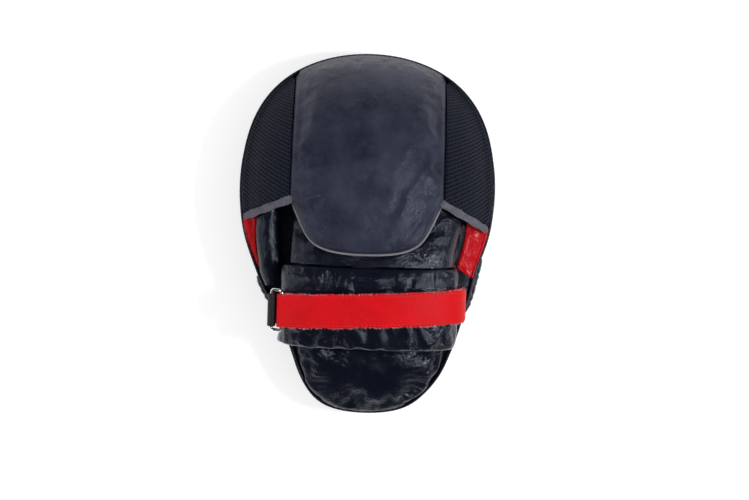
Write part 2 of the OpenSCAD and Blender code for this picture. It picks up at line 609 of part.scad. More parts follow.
// The thumb stall: an arch along the left side that closes at its upper end.
thumb_y0 = wrist_y + cuff_l / 2 + 1.5;
thumb_y1 = hinge_y + 12;
function thumb_x(y) = thumb_room(y) - rim_x(y);
// A point of the stall's arch: s is 0 at the rim side's base and 1 at the hand side's lower edge.
function thumb_point(s, y, in) =
    let (close = pow(max(0, (y - thumb_y1 + 16) / 16), 3), small = 1 - 0.6 * close,
        a = 180 - 180 * s, w = (thumb_w / 2 - in) * small, h = (thumb_h - thumb_w / 2) * small)
    [thumb_x(y) + thumb_w / 2 + w * cos(a), y, wall_h + gap + arch(y) + h * min(1, s * 6) + w * sin(a)];
module thumb_stall() color(black) sheet(steps(1, 0, 12), steps(thumb_y1, thumb_y0, 9),
    function(s, y) thumb_point(s, y, 0),
    function(s, y) thumb_point(s, y, liner_t));
module thumb_divider() color(dark_grey)
    sheet([0, thumb_h - thumb_w / 2 - 1.5], steps(thumb_y0 + 24, thumb_y1 - 12, 3),
        function(h, y) [thumb_x(y) + thumb_w - liner_t - 0.1, y, wall_h + gap + arch(y) + h],
        function(h, y) [thumb_x(y) + thumb_w - 0.1, y, wall_h + gap + arch(y) + h]);

// The leather sleeve over the back of the hand, from the cuff to under the hood.
sleeve_y0 = wrist_y + cuff_l / 2 + 1;
sleeve_y1 = hinge_y - 4;
sleeve_ts = [for (t = [-20:10:160]) t];
// A point of the sleeve at t degrees and share s of its length; its low end leans with the cuff's hem.
function sleeve_point(t, s, in) =
    let (drop = s * s * (3 - 2 * s), a = cuff_a - cuff_t / 2 - in, b = cuff_b - cuff_t / 2 - 6 * drop - in,
        h = max(0, cuff_zc - gap - 4 * drop + b * curl(sin(t))),
        y = sleeve_y0 + (sleeve_y1 - sleeve_y0) * s - h * (1 - s) * sin(arch_slope(wrist_y)))
    [cuff_x + 4 * drop + (a + 2.5 * drop) * curl(cos(t)), y, wall_h + gap + arch(y) + h];
module hand_sleeve() color(dark_grey) sheet(sleeve_ts, steps(1, 0, 6),
    function(t, s) sleeve_point(t, s, 0),
    function(t, s) sleeve_point(t, s, liner_t));

strike_cover();
gel_sheet();
impact_foam();
comfort_foam();
back_panel();
rim_piping();
heel_cushion();
palm_grip();
finger_stall_1();
finger_stall_2();
finger_stall_3();
finger_stall_4();
thumb_stall();
thumb_divider();
hand_sleeve();
cuff_cover();
cuff_foam();
cuff_lining();
hood_panel_cover();
hood_panel_gel();
hood_panel_foam();
hood_panel_lining();
tongue_cover();
tongue_foam();
tongue_lining();
tongue_piping();
mesh_left();
mesh_right();
mesh_binding_left();
mesh_binding_right();
red_panel_left();
red_panel_right();
side_tab_left();
side_tab_right();
ring();
ring_anchor();
strap_under();
loop_patch();
strap_fold();
strap_root();
strap_tip();
hook_patch();
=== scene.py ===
"""Focus mitt, lying on its strike face: leather, air mesh, hook and loop strap and wire ring over the CAD
frame.

Lengths are millimetres in the formulas and metres in the meshes. X runs across the mitt, +Y to the
fingertips, +Z up.
"""

import math

import bpy
import numpy as np
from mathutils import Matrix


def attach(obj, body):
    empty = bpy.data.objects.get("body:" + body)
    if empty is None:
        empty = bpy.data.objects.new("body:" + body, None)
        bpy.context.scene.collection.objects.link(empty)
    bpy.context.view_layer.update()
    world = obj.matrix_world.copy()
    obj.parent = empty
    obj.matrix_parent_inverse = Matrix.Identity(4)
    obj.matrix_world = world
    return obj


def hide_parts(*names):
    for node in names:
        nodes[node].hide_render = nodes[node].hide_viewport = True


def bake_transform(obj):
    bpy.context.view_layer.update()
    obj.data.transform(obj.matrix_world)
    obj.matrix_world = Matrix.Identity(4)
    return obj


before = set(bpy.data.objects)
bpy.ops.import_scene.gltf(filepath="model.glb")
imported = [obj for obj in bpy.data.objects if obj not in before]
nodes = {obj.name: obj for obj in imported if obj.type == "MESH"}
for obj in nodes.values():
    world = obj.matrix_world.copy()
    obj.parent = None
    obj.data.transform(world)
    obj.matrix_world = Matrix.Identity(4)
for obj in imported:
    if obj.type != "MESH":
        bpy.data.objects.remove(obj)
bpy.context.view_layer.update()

# ---- Sizes of the CAD part ----

TOP_R, HEEL_R, SIDE_R, HALF_L = 94.0, 60.0, 700.0, 134.5
TOP_Y, HEEL_Y = HALF_L - TOP_R, HEEL_R - HALF_L
# The side circle encloses the finger and heel circles and touches both, which gives its centre
TO_TOP, TO_HEEL, APART = SIDE_R - TOP_R, SIDE_R - HEEL_R, TOP_Y - HEEL_Y
DROP = (TO_TOP * TO_TOP - TO_HEEL * TO_HEEL + APART * APART) / (2 * APART)
SIDE_Y, SIDE_X = TOP_Y - DROP, -math.sqrt(TO_TOP * TO_TOP - DROP * DROP)
TOP_A, HEEL_A = math.atan2(DROP, -SIDE_X), math.atan2(HEEL_Y - SIDE_Y, -SIDE_X)
WALL_H, EDGE_R, SKIN_T, RIM_R = 34.0, 14.0, 1.8, 1.2
GAP = 0.3  # clearance between neighbouring pieces
ARCH_RISE, LAND_CUT, LAND_A = 22.0, 0.5, math.radians(67.5)
ARCH_R = (HALF_L**2 + ARCH_RISE**2) / (2 * ARCH_RISE)
LOW_Y = HALF_L - EDGE_R + EDGE_R * math.cos(LAND_A)
ARCH_LOW = math.sqrt(ARCH_R**2 - LOW_Y**2) + EDGE_R - EDGE_R * math.sin(LAND_A) + LAND_CUT
RIM_INSET = RIM_R - SKIN_T / 4
MESH_INSET = RIM_INSET + RIM_R + GAP
PANEL_W, HINGE_Y, TONGUE_L = 56.0, 24.5, 40.0
HOOD_RISE, HOOD_POWER = 46.0, 3.4
# The hood's crown, its thickness at the edge, and what its middle adds to that
CROWN_H, PANEL_EDGE, PANEL_MORE = 4.0, 6.0, 6.5
MESH_T, MESH_LOW_LEFT, MESH_LOW_RIGHT = 3.0, 12, 8
THUMB_W, THUMB_H = 19.0, 17.0
WRIST_Y, CUFF_X, CUFF_A, CUFF_B, CUFF_L, CUFF_T = -51.0, 4.0, 65.0, 25.0, 60.0, 8.0
STRAP_W, STRAP_T = 24.5, 1.8
SLANT = math.tan(math.radians(3))


def arch(y):
    """Height of the bent pad's base over the table: a circle of radius ARCH_R about a point below."""
    return np.sqrt(ARCH_R**2 - np.asarray(y, float) ** 2) - ARCH_LOW


def smooth(t):
    """3t^2 - 2t^3 between 0 and 1, level outside."""
    t = np.clip(t, 0, 1)
    return t * t * (3 - 2 * t)


def swing(y):
    """Sideways swing of the heel end: 6 mm by a smooth step from y = -15 to -85, and 3 mm back
    from y = -92 on."""
    y = np.asarray(y, float)
    return 6 * smooth((-15 - y) / 70) - 3 * smooth((-92 - y) / 42.5)


def wide(y):
    """Widening of the plan's circles: a power towards the finger end, a decay from the heel, two bells
    beside the hand."""
    y = np.asarray(y, float)
    return (1 + 0.14 * np.maximum(0, (y - 55) / 79.5) ** 1.6 + 0.45 * np.exp(-(y + HALF_L) / 8.5)
            + 0.046 * np.exp(-(((y + 2) / 28) ** 2)) + 0.0184 * np.exp(-(((y + 42) / 16) ** 2)))


def half_width(y, inset=0.0):
    """Half the plan's width: the finger circle above, the heel circle below, the long side circle
    between, widened."""
    y = np.asarray(y, float)
    top = np.sqrt(np.maximum(0, (TOP_R - inset) ** 2 - (y - TOP_Y) ** 2))
    heel = np.sqrt(np.maximum(0, (HEEL_R - inset) ** 2 - (y - HEEL_Y) ** 2))
    side = SIDE_X + np.sqrt((SIDE_R - inset) ** 2 - (y - SIDE_Y) ** 2)
    high = y > TOP_Y + (TOP_R - inset) * math.sin(TOP_A)
    low = y < HEEL_Y + (HEEL_R - inset) * math.sin(HEEL_A)
    return wide(y) * np.where(high, top, np.where(low, heel, side))


def dome(x, y):
    """Hood height: 46 mm times 1 - q^3.4 over the rim, where q is the share of the way to the plan's
    edge."""
    x, y = np.asarray(x, float), np.asarray(y, float)
    q = np.where(y > TOP_Y, np.hypot(x / wide(y), y - TOP_Y) / TOP_R, np.abs(x) / half_width(y))
    return WALL_H + HOOD_RISE * (1 - np.clip(q, 0, 1.2) ** HOOD_POWER) + arch(y)


def outline(inset, n_top=88, n_side=44, n_heel=48):
    """Points round the plan, anticlockwise from the right: four circle arcs, each moved in by the inset,
    widened."""
    t = np.concatenate([
        TOP_A + np.arange(n_top) * (math.pi - 2 * TOP_A) / n_top,
        math.pi - TOP_A + np.arange(n_side) * (TOP_A - HEEL_A) / n_side,
        math.pi - HEEL_A + np.arange(n_heel) * (math.pi + 2 * HEEL_A) / n_heel,
        HEEL_A + np.arange(n_side) * (TOP_A - HEEL_A) / n_side])
    counts = [n_top, n_side, n_heel, n_side]
    cx = np.repeat([0, -SIDE_X, 0, SIDE_X], counts)
    cy = np.repeat([TOP_Y, SIDE_Y, HEEL_Y, SIDE_Y], counts)
    r = np.repeat([TOP_R, SIDE_R, HEEL_R, SIDE_R], counts) - inset
    x, y = cx + r * np.cos(t), cy + r * np.sin(t)
    return np.stack([x * wide(y), y], -1)


def lift(plan, h, k=1.0):
    """Plan points scaled by k, swung at the heel and raised to height h over the arch."""
    x, y = k * plan[..., 0], k * plan[..., 1]
    return np.stack([x + swing(y), y, h + arch(y)], -1)


# ---- Meshes from arrays of points ----


def lengths(points, axis):
    """Distance run along an axis of a grid of points, from its start."""
    step = np.linalg.norm(np.diff(points, axis=axis), axis=-1)
    run = np.cumsum(step, axis)
    return np.concatenate([np.zeros_like(np.take(run, [0], axis)), run], axis)


def add_mesh(name, verts, quads, tris, uv, masks):
    """A mesh object from vertices in mm, faces, a UV pair per vertex row and named vertex masks, turned
    outwards."""
    verts = np.asarray(verts, float) * 0.001
    quads, tris = np.asarray(quads, int).reshape(-1, 4), np.asarray(tris, int).reshape(-1, 3)
    both = np.concatenate([quads[:, [0, 1, 2]], quads[:, [0, 2, 3]], tris])
    a, b, c = (verts[both[:, i]] for i in range(3))
    if np.einsum("ij,ij->i", a, np.cross(b, c)).sum() < 0:
        quads, tris = quads[:, ::-1], tris[:, ::-1]
        uv = [u[:, ::-1] for u in uv]
    mesh = bpy.data.meshes.new(name)
    mesh.from_pydata(verts.tolist(), [], quads.tolist() + tris.tolist())
    mesh.polygons.foreach_set("use_smooth", np.ones(len(mesh.polygons), bool))
    layer = mesh.uv_layers.new(name="UVMap")
    flat = np.concatenate([u.reshape(-1, 2) for u in uv])
    layer.data.foreach_set("uv", flat.astype(np.float32).ravel())
    for key, value in masks.items():
        attribute = mesh.attributes.new(key, "FLOAT", "POINT")
        attribute.data.foreach_set("value", np.asarray(value, np.float32).ravel())
    mesh.set_sharp_from_angle(angle=math.radians(50))
    obj = bpy.data.objects.new(name, mesh)
    bpy.context.scene.collection.objects.link(obj)
    return obj


def loft(name, rings, ends="poles", masks=None):
    """Closed form through equal closed rings: quads between rings; each end is closed by a middle point
    or a strip."""
    rings = np.asarray(rings, float)
    m, n = rings.shape[:2]
    wrap = np.concatenate([rings, rings[:, :1]], 1)
    uvs = np.stack([lengths(wrap, 1), lengths(wrap, 0)], -1) * 0.01
    i, j = np.arange(m - 1)[:, None], np.arange(n)[None]
    k = (j + 1) % n
    quads = [np.stack([i * n + j, i * n + k, (i + 1) * n + k, (i + 1) * n + j], -1).reshape(-1, 4)]
    corner = [np.stack([uvs[i, j], uvs[i, j + 1], uvs[i + 1, j + 1], uvs[i + 1, j]], 2).reshape(-1, 4, 2)]
    verts, tris, tri_uv = rings.reshape(-1, 3), [], []
    masks = {key: np.broadcast_to(value, (m, n)).ravel() for key, value in (masks or {}).items()}
    if ends == "poles":
        verts = np.concatenate([verts, rings[[0, -1]].mean(1)])
        masks = {key: np.append(v, [v[:n].mean(), v[-n:].mean()]) for key, v in masks.items()}
        j = np.arange(n)
        k = (j + 1) % n
        for pole, row, a, b in ((m * n, 0, k, j), (m * n + 1, m - 1, j, k)):
            tris.append(np.stack([np.full(n, pole), row * n + a, row * n + b], -1))
            mid = np.broadcast_to(uvs[row].mean(0), (n, 2))
            step = (j + 1, j) if row == 0 else (j, j + 1)
            tri_uv.append(np.stack([mid, uvs[row, step[0]], uvs[row, step[1]]], 1))
    elif ends == "strip":
        half = n // 2
        j = np.arange(half - 1)
        for row, flip in ((0, False), (m - 1, True)):
            quad = np.stack([row * n + j, row * n + n - 1 - j, row * n + n - 2 - j, row * n + j + 1], -1)
            edge = np.stack([uvs[row, j], uvs[row, n - 1 - j], uvs[row, n - 2 - j], uvs[row, j + 1]], 1)
            quads.append(quad[:, ::-1] if flip else quad)
            corner.append(edge[:, ::-1] if flip else edge)
    else:  # the last ring joins the first
        j = np.arange(n)
        k = (j + 1) % n
        last = (m - 1) * n
        quads.append(np.stack([last + j, last + k, k, j], -1))
        step = np.linalg.norm(rings[0] - rings[-1], axis=-1) * 0.01
        step = np.append(step, step[0])
        far = uvs[-1] + np.stack([0 * step, step], -1)
        corner.append(np.stack([uvs[-1, j], uvs[-1, j + 1], far[j + 1], far[j]], 1))
    tris = np.concatenate(tris) if tris else np.zeros((0, 3), int)
    tri_uv = np.concatenate(tri_uv) if tri_uv else np.zeros((0, 3, 2))
    return add_mesh(name, verts, np.concatenate(quads), tris, [np.concatenate(corner), tri_uv], masks)


def plate(name, outer, inner, masks=None):
    """Closed plate between two equal grids of points: each row goes out along one and back along the
    other."""
    rings = np.concatenate([outer, inner[:, ::-1]], 1)
    if masks:
        masks = {key: np.concatenate([v, v[:, ::-1]], 1) for key, v in masks.items()}
    return loft(name, rings, "strip", masks)


def unit(v):
    return v / np.maximum(np.linalg.norm(v, axis=-1, keepdims=True), 1e-9)


def sweep(name, path, side, up, profile, ends="poles", masks=None):
    """A profile of (side, up) shares carried along a path: point + side * s + up * u, one ring for each
    path point."""
    profile = np.asarray(profile, float)
    if profile.ndim == 2:
        profile = np.broadcast_to(profile, (len(path),) + profile.shape)
    rings = path[:, None] + profile[..., :1] * side[:, None] + profile[..., 1:] * up[:, None]
    return loft(name, rings, ends, masks)


def resample(path, step):
    """The path's points again at even steps of length."""
    run = lengths(path[None], 1)[0]
    at = np.linspace(0, run[-1], max(2, int(round(run[-1] / step)) + 1))
    return np.stack([np.interp(at, run, path[:, i]) for i in range(path.shape[1])], -1)


def frames(path, up=(0, 0, 1), loop=False):
    """Unit directions along a path, to its side, and square to both, from a wished-for up."""
    if loop:
        along = np.roll(path, -1, 0) - np.roll(path, 1, 0)
    else:
        along = np.gradient(path, axis=0)
    along = unit(along)
    side = unit(np.cross(along, np.broadcast_to(np.asarray(up, float), path.shape)))
    return along, side, np.cross(side, along)


def circle(n):
    t = np.arange(n) * 2 * math.pi / n
    return np.stack([np.cos(t), np.sin(t)], -1)


def slab(width, thick, across=14, rounds=4):
    """Cross-section of a flat band: even steps over its top and bottom and half circles at its edges."""
    r = thick / 2
    x = np.linspace(width / 2 - r, r - width / 2, across)
    t = np.linspace(-math.pi / 2, math.pi / 2, rounds + 2)[1:-1]
    right = np.stack([width / 2 - r + r * np.cos(t), r * np.sin(t)], -1)
    top = np.stack([x, np.full_like(x, r)], -1)
    return np.concatenate([right, top, -right, -top])


def threads(name, path, up, pitch=3.2, length=2.3, radius=0.3, loop=False):
    """A row of stitches: a small six-sided spindle for each pitch of the path, sunk a little in the
    leather."""
    pts = resample(path, pitch)
    if np.ndim(up) == 1:
        ups = np.broadcast_to(np.asarray(up, float), pts.shape)
    else:
        run, at = lengths(path[None], 1)[0], lengths(pts[None], 1)[0]
        ups = np.stack([np.interp(at, run, up[:, i]) for i in range(3)], -1)
    along, side, out = frames(pts, ups, loop)
    shape = np.array([[-0.5, 0.35], [-0.3, 0.95], [0.0, 1.0], [0.3, 0.95], [0.5, 0.35]])
    ring = circle(6)
    body = np.stack([np.repeat(shape[:, 0] * length, 6),
                     (shape[:, 1:] * ring[:, 0] * radius).ravel(),
                     (shape[:, 1:] * (ring[:, 1] * radius) + (shape[:, 1:] - 1) * radius).ravel()], -1)
    tips = np.array([[-0.55 * length, 0, -radius], [0.55 * length, 0, -radius]])
    body = np.concatenate([body, tips])
    verts = pts[:, None] + body[:, :1] * along[:, None] + body[:, 1:2] * side[:, None]
    verts = verts + body[:, 2:] * out[:, None]
    count, i, j = len(body), np.arange(4)[:, None], np.arange(6)
    k = (j + 1) % 6
    quad = np.stack([i * 6 + j, i * 6 + k, (i + 1) * 6 + k, (i + 1) * 6 + j], -1).reshape(-1, 4)
    tri = [np.stack([np.full(6, 30), k, j], -1), np.stack([np.full(6, 31), 24 + j, 24 + k], -1)]
    base = (np.arange(len(pts)) * count)[:, None, None]
    quads = (quad[None] + base).reshape(-1, 4)
    tris = (np.concatenate(tri)[None] + base).reshape(-1, 3)
    uv = np.stack([body[:, 0], np.zeros(count)], -1) * 0.01
    return add_mesh(name, verts.reshape(-1, 3), quads, tris, [uv[quads % count], uv[tris % count]], {})


def folds(x, y, ridges):
    """Sum of soft ridges: each is a line from (x0, y0) to (x1, y1), a bell across it of the width and
    height given, fading at both ends."""
    total = np.zeros(np.broadcast(x, y).shape)
    for x0, y0, x1, y1, width, height in ridges:
        dx, dy = x1 - x0, y1 - y0
        size = math.hypot(dx, dy)
        s = ((x - x0) * dx + (y - y0) * dy) / size**2
        across = ((x - x0) * dy - (y - y0) * dx) / size
        bend = 0.08 * size * np.sin(math.pi * np.clip(s, 0, 1))
        bell = height * np.exp(-((across - bend) / width) ** 2)
        total += bell * smooth(s * 3 + 0.6) * smooth((1 - s) * 3 + 0.6)
    return total


def ripple(x, y, size, seed):
    """Soft random waves of about the size given: a sum of seven sine waves in seeded directions."""
    rng = np.random.default_rng(seed)
    total = np.zeros(np.broadcast(x, y).shape)
    turns, scales, phases = rng.uniform(0, math.pi, 7), rng.uniform(0.6, 1.7, 7), rng.uniform(0, 6.28, 7)
    for angle, scale, phase in zip(turns, scales, phases):
        total += np.sin((x * math.cos(angle) + y * math.sin(angle)) * 6.28 / (size * scale) + phase)
    return total / 7


def swollen(obj, held, voxel=4.0, cap=3.0, pressure=4.0, slack=0.05):
    """Swells padding by Blender's cloth: an even voxel copy, held where held(x, y, z) is true, gets inner
    pressure and a little slack for 20 frames. Each vertex of the piece then takes the mean move of the
    copy's four nearest points, weighted by 1 / distance squared, and no point moves more than the cap."""
    scene = bpy.context.scene
    copy = bpy.data.objects.new(obj.name + "_swelling", obj.data.copy())
    scene.collection.objects.link(copy)
    remesh = copy.modifiers.new("even", "REMESH")
    remesh.mode, remesh.voxel_size = "VOXEL", voxel / 1000
    even = bpy.data.meshes.new_from_object(copy.evaluated_get(bpy.context.evaluated_depsgraph_get()))
    copy.modifiers.clear()
    copy.data = even
    start = vertex_points(even)
    group = copy.vertex_groups.new(name="sewn")
    group.add(np.flatnonzero(held(*start.T)).tolist(), 1.0, "REPLACE")
    cloth = copy.modifiers.new("padding", "CLOTH")
    cloth.settings.use_pressure = True
    cloth.settings.uniform_pressure_force = pressure
    cloth.settings.effector_weights.gravity = 0
    cloth.settings.vertex_group_mass = "sewn"
    cloth.settings.shrink_min = -slack
    cloth.settings.quality = 5
    cloth.point_cache.frame_start, cloth.point_cache.frame_end = 1, 20
    for frame_number in range(1, 21):
        scene.frame_set(frame_number)
    done = copy.evaluated_get(bpy.context.evaluated_depsgraph_get())
    move = vertex_points(done.data) - start
    bpy.data.objects.remove(copy)
    scene.frame_set(1)
    size = np.linalg.norm(move, axis=1, keepdims=True)
    move *= np.minimum(1, cap / np.maximum(size, 1e-9))
    points = vertex_points(obj.data)
    parts = np.array_split(points, 1 + len(points) // 1500)
    total = np.concatenate([near_mean(part, start, move) for part in parts])
    obj.data.vertices.foreach_set("co", ((points + total) / 1000).astype(np.float32).ravel())
    obj.data.update()
    return obj


def vertex_points(mesh):
    """A mesh's vertices in mm as an array of points."""
    flat = np.empty(3 * len(mesh.vertices), np.float32)
    mesh.vertices.foreach_get("co", flat)
    return flat.reshape(-1, 3).astype(float) * 1000


def near_mean(points, known, values):
    """Mean of the values at the four known points nearest to each point, weighted by 1 / distance
    squared."""
    square = ((points[:, None] - known[None]) ** 2).sum(-1)
    near = np.argpartition(square, 4, axis=1)[:, :4]
    weight = 1 / (np.take_along_axis(square, near, 1) + 0.5)
    return (values[near] * weight[..., None]).sum(1) / weight.sum(1, keepdims=True)


# ---- Shader groups and materials ----


class Graph:
    """Adds nodes to a tree and links them: each call returns the new node's first output."""

    def __init__(self, tree):
        self.tree = tree

    def put(self, kind, inputs=None, out=0, **settings):
        node = self.tree.nodes.new(kind)
        for key, value in settings.items():
            setattr(node, key, value)
        for key, value in (inputs or {}).items():
            socket = node.inputs[key]
            if isinstance(value, bpy.types.NodeSocket):
                self.tree.links.new(value, socket)
            else:
                socket.default_value = value
        return node.outputs[out]

    def maths(self, operation, a, b=0.0, clamp=False):
        return self.put("ShaderNodeMath", {0: a, 1: b}, operation=operation, use_clamp=clamp)

    def add(self, a, b, clamp=False):
        return self.maths("ADD", a, b, clamp)

    def less(self, a, b):
        return self.maths("SUBTRACT", a, b)

    def times(self, a, b, clamp=False):
        return self.maths("MULTIPLY", a, b, clamp)

    def span(self, value, low, high, to_low=0.0, to_high=1.0):
        return self.put("ShaderNodeMapRange", {0: value, 1: low, 2: high, 3: to_low, 4: to_high})

    def mix(self, factor, a, b):
        node = self.tree.nodes.new("ShaderNodeMix")
        node.data_type = "RGBA"
        for key, value in ((0, factor), (6, a), (7, b)):
            if isinstance(value, bpy.types.NodeSocket):
                self.tree.links.new(value, node.inputs[key])
            else:
                node.inputs[key].default_value = value
        return node.outputs[2]

    def noise(self, vector, scale, detail=2.0, rough=0.5, warp=0.0):
        return self.put("ShaderNodeTexNoise", {"Vector": vector, "Scale": scale, "Detail": detail,
                                               "Roughness": rough, "Distortion": warp})


def group(name, inputs, outputs, build):
    """A shader node group with named value inputs and outputs, filled by build(graph, inputs) ->
    outputs."""
    tree = bpy.data.node_groups.new(name, "ShaderNodeTree")
    for key, value in inputs.items():
        socket = tree.interface.new_socket(key, in_out="INPUT", socket_type="NodeSocketFloat")
        socket.default_value = value
    for key in outputs:
        tree.interface.new_socket(key, in_out="OUTPUT", socket_type="NodeSocketFloat")
    source, sink = tree.nodes.new("NodeGroupInput"), tree.nodes.new("NodeGroupOutput")
    made = build(Graph(tree), {key: source.outputs[key] for key in inputs})
    for key in outputs:
        tree.links.new(made[key], sink.inputs[key])
    return tree


def build_leather(g, given):
    """Pebbled grain from rounded cells and pores, soft unevenness from noise, and crumples in patches: the
    distance of a warped noise from its middle value, which makes crossing valleys. The crumples also come
    out as a mask of painted shade for the creases."""
    at = g.put("ShaderNodeTexCoord", out=3)
    warp = g.put("ShaderNodeTexNoise", {"Vector": at, "Scale": 70.0, "Detail": 1.0}, out=1)
    bent = g.put("ShaderNodeMix", {0: 0.006, 4: at, 5: warp}, out=1, data_type="VECTOR")
    cells = g.put("ShaderNodeTexVoronoi", feature="SMOOTH_F1",
                  inputs={"Vector": bent, "Scale": given["Grain scale"], "Smoothness": 0.35})
    grain = g.less(1.0, cells)
    pores = g.noise(at, 2600.0, 1.0)
    uneven = g.noise(bent, given["Soft scale"], 2.0, 0.45)
    valley = g.maths("ABSOLUTE", g.less(g.noise(bent, given["Crease scale"], 2.0, 0.6), 0.5))
    valley = g.maths("POWER", g.times(valley, 3.2), 0.8)
    where = g.span(g.noise(at, 17.0, 2.0), 0.44, 0.62)
    crumple = g.times(g.less(1.0, valley), where)
    fine = g.add(g.times(grain, 0.5), g.times(pores, 0.16))
    height = g.add(g.times(fine, given["Grain"]), g.times(uneven, given["Soft"]))
    height = g.less(height, g.times(crumple, given["Creases"]))
    shade = g.span(g.noise(at, 38.0, 4.0, 0.62), 0.3, 0.7)
    return {"Height": height, "Shade": shade, "Crease shade": g.times(crumple, 0.6), "Grain": grain}


def build_knit(g, given):
    """Spacer mesh: holes in staggered rows, where a cosine across times a cosine along is high, between
    fat yarns."""
    at = g.put("ShaderNodeUVMap", uv_map="UVMap")
    part = g.put("ShaderNodeSeparateXYZ", {0: at})
    wild = g.noise(g.put("ShaderNodeTexCoord", out=3), 420.0, 2.0)
    sway = g.times(g.less(wild, 0.5), 0.006)
    x = g.add(part.node.outputs[0], sway)
    y = g.add(part.node.outputs[1], sway)
    a = g.maths("COSINE", g.times(x, given["Across"]))
    b = g.maths("COSINE", g.times(y, given["Along"]))
    both = g.times(a, b)
    hole = g.span(both, 0.12, 0.5)
    strand = g.maths("SINE", g.times(g.add(x, y), g.times(given["Across"], 4.0)))
    height = g.less(g.times(strand, 0.1), g.add(hole, g.times(both, 0.4)))
    height = g.add(height, g.times(wild, 0.25))
    return {"Height": height, "Hole": hole, "Wild": wild}


def build_weave(g, given):
    """Plain weave: warp threads on one UV axis, weft on the other, over and under by the sign of their
    product."""
    at = g.put("ShaderNodeUVMap", uv_map="UVMap")
    part = g.put("ShaderNodeSeparateXYZ", {0: at})
    a = g.maths("SINE", g.times(part.node.outputs[0], given["Threads"]))
    b = g.maths("SINE", g.times(part.node.outputs[1], given["Threads"]))
    over = g.times(g.times(a, b), 0.5)
    fuzz = g.noise(g.put("ShaderNodeTexCoord", out=3), 900.0, 3.0)
    height = g.add(g.add(g.maths("ABSOLUTE", a), g.maths("ABSOLUTE", b)), over)
    height = g.add(g.times(height, 0.4), g.times(fuzz, 0.3))
    return {"Height": height, "Fuzz": fuzz}


def build_wear(g, given):
    """Wear: the vertex mask of raised edges, broken up by noise."""
    edge = g.put("ShaderNodeAttribute", out=2, attribute_name="edge")
    broken = g.noise(g.put("ShaderNodeTexCoord", out=3), 240.0, 4.0, 0.6)
    worn = g.times(edge, g.span(broken, 0.35, 0.7))
    return {"Worn": g.times(worn, given["Amount"], True)}


LEATHER = group("leather_surface",
                {"Grain scale": 1000.0, "Crease scale": 30.0, "Soft scale": 60.0,
                 "Grain": 1.0, "Creases": 1.0, "Soft": 1.0},
                ["Height", "Shade", "Crease shade", "Grain"], build_leather)
KNIT = group("mesh_knit", {"Across": 196.0, "Along": 150.0}, ["Height", "Hole", "Wild"], build_knit)
WEAVE = group("fabric_weave", {"Threads": 700.0}, ["Height", "Fuzz"], build_weave)
WEAR = group("edge_wear", {"Amount": 0.6}, ["Worn"], build_wear)


def material(name, **sockets):
    """A new Principled material with constants on its sockets; returns it, its graph and its shader
    node."""
    made = bpy.data.materials.new(name)
    made.use_nodes = True
    shader = made.node_tree.nodes["Principled BSDF"]
    for key, value in sockets.items():
        shader.inputs[key.replace("_", " ")].default_value = value
    return made, Graph(made.node_tree), shader


def use(graph, tree, **values):
    """Places a shared group and sets its inputs; returns its outputs by name."""
    node = graph.tree.nodes.new("ShaderNodeGroup")
    node.node_tree = tree
    for key, value in values.items():
        node.inputs[key.replace("_", " ")].default_value = value
    return {o.name: o for o in node.outputs}


def bump(graph, shader, height, distance, strength=1.0):
    normal = graph.put("ShaderNodeBump", {"Height": height, "Distance": distance, "Strength": strength})
    graph.tree.links.new(normal, shader.inputs["Normal"])


def leather(name, dark, light, worn, rough, grain=1.0, creases=1.0, scale=1000.0, crease_scale=30.0,
            depth=0.00025, soft=1.0, soft_scale=60.0, wear=0.6, specular=0.5):
    """Leather: colour varies with the shade noise, takes painted shade in its creases, pales at worn edges;
    roughness follows both."""
    made, g, shader = material(name, Specular_IOR_Level=specular, Specular_Tint=(0.78, 0.86, 1.0, 1))
    skin = use(g, LEATHER, Grain_scale=scale, Crease_scale=crease_scale, Soft_scale=soft_scale, Grain=grain,
               Creases=creases, Soft=soft)
    edge = use(g, WEAR, Amount=wear)
    colour = g.mix(skin["Shade"], (*dark, 1), (*light, 1))
    # painted shade: the colour darkens towards 0.45 of the dark colour along the crumpled creases
    colour = g.mix(g.times(skin["Crease shade"], 0.55), colour, (*[0.45 * c for c in dark], 1))
    colour = g.mix(edge["Worn"], colour, (*worn, 1))
    g.tree.links.new(colour, shader.inputs["Base Color"])
    value = g.add(g.span(skin["Shade"], 0.0, 1.0, rough[0], rough[1]),
                    g.times(skin["Grain"], -0.06))
    g.tree.links.new(value, shader.inputs["Roughness"])
    bump(g, shader, skin["Height"], depth)
    return made


M = {}
M["black"] = leather(
    "glossy_black_leather", (0.0020, 0.0027, 0.0075), (0.0042, 0.0055, 0.0130), (0.010, 0.012, 0.020),
    (0.10, 0.19), creases=0.3, crease_scale=75.0, depth=0.0005, soft=1.1, soft_scale=75.0, specular=0.45)
M["pad"] = leather(
    "pad_side_leather", (0.0030, 0.0036, 0.0075), (0.0055, 0.0064, 0.012), (0.012, 0.013, 0.020),
    (0.28, 0.40), creases=0.2, crease_scale=60.0, depth=0.0004, soft=1.2, specular=0.4)
# The wide span between its dark and light colours is partly the leather's own mottled tone and partly
# painted sheen, standing in for soft crumpled reflections on the hood.
M["charcoal"] = leather(
    "matte_charcoal_leather", (0.0140, 0.0155, 0.0300), (0.0390, 0.0420, 0.0680), (0.030, 0.032, 0.050),
    (0.28, 0.40), grain=0.8, creases=0.4, crease_scale=95.0, depth=0.0004, scale=1250.0, soft=1.4,
    soft_scale=85.0, wear=0.2, specular=0.19)
M["red"] = leather(
    "red_leather", (0.55, 0.0008, 0.0030), (0.65, 0.0014, 0.0050), (0.70, 0.03, 0.035),
    (0.42, 0.54), grain=0.9, creases=0.35, crease_scale=80.0, depth=0.0004, soft=1.2, wear=0.3,
    specular=0.14)
M["red_gloss"] = leather(
    "glossy_red_leather", (0.58, 0.0010, 0.0035), (0.68, 0.0018, 0.0060), (0.74, 0.04, 0.045),
    (0.20, 0.30), grain=0.7, creases=0.9, crease_scale=110.0, depth=0.0006, soft=2.0, soft_scale=110.0,
    wear=0.3, specular=0.6)


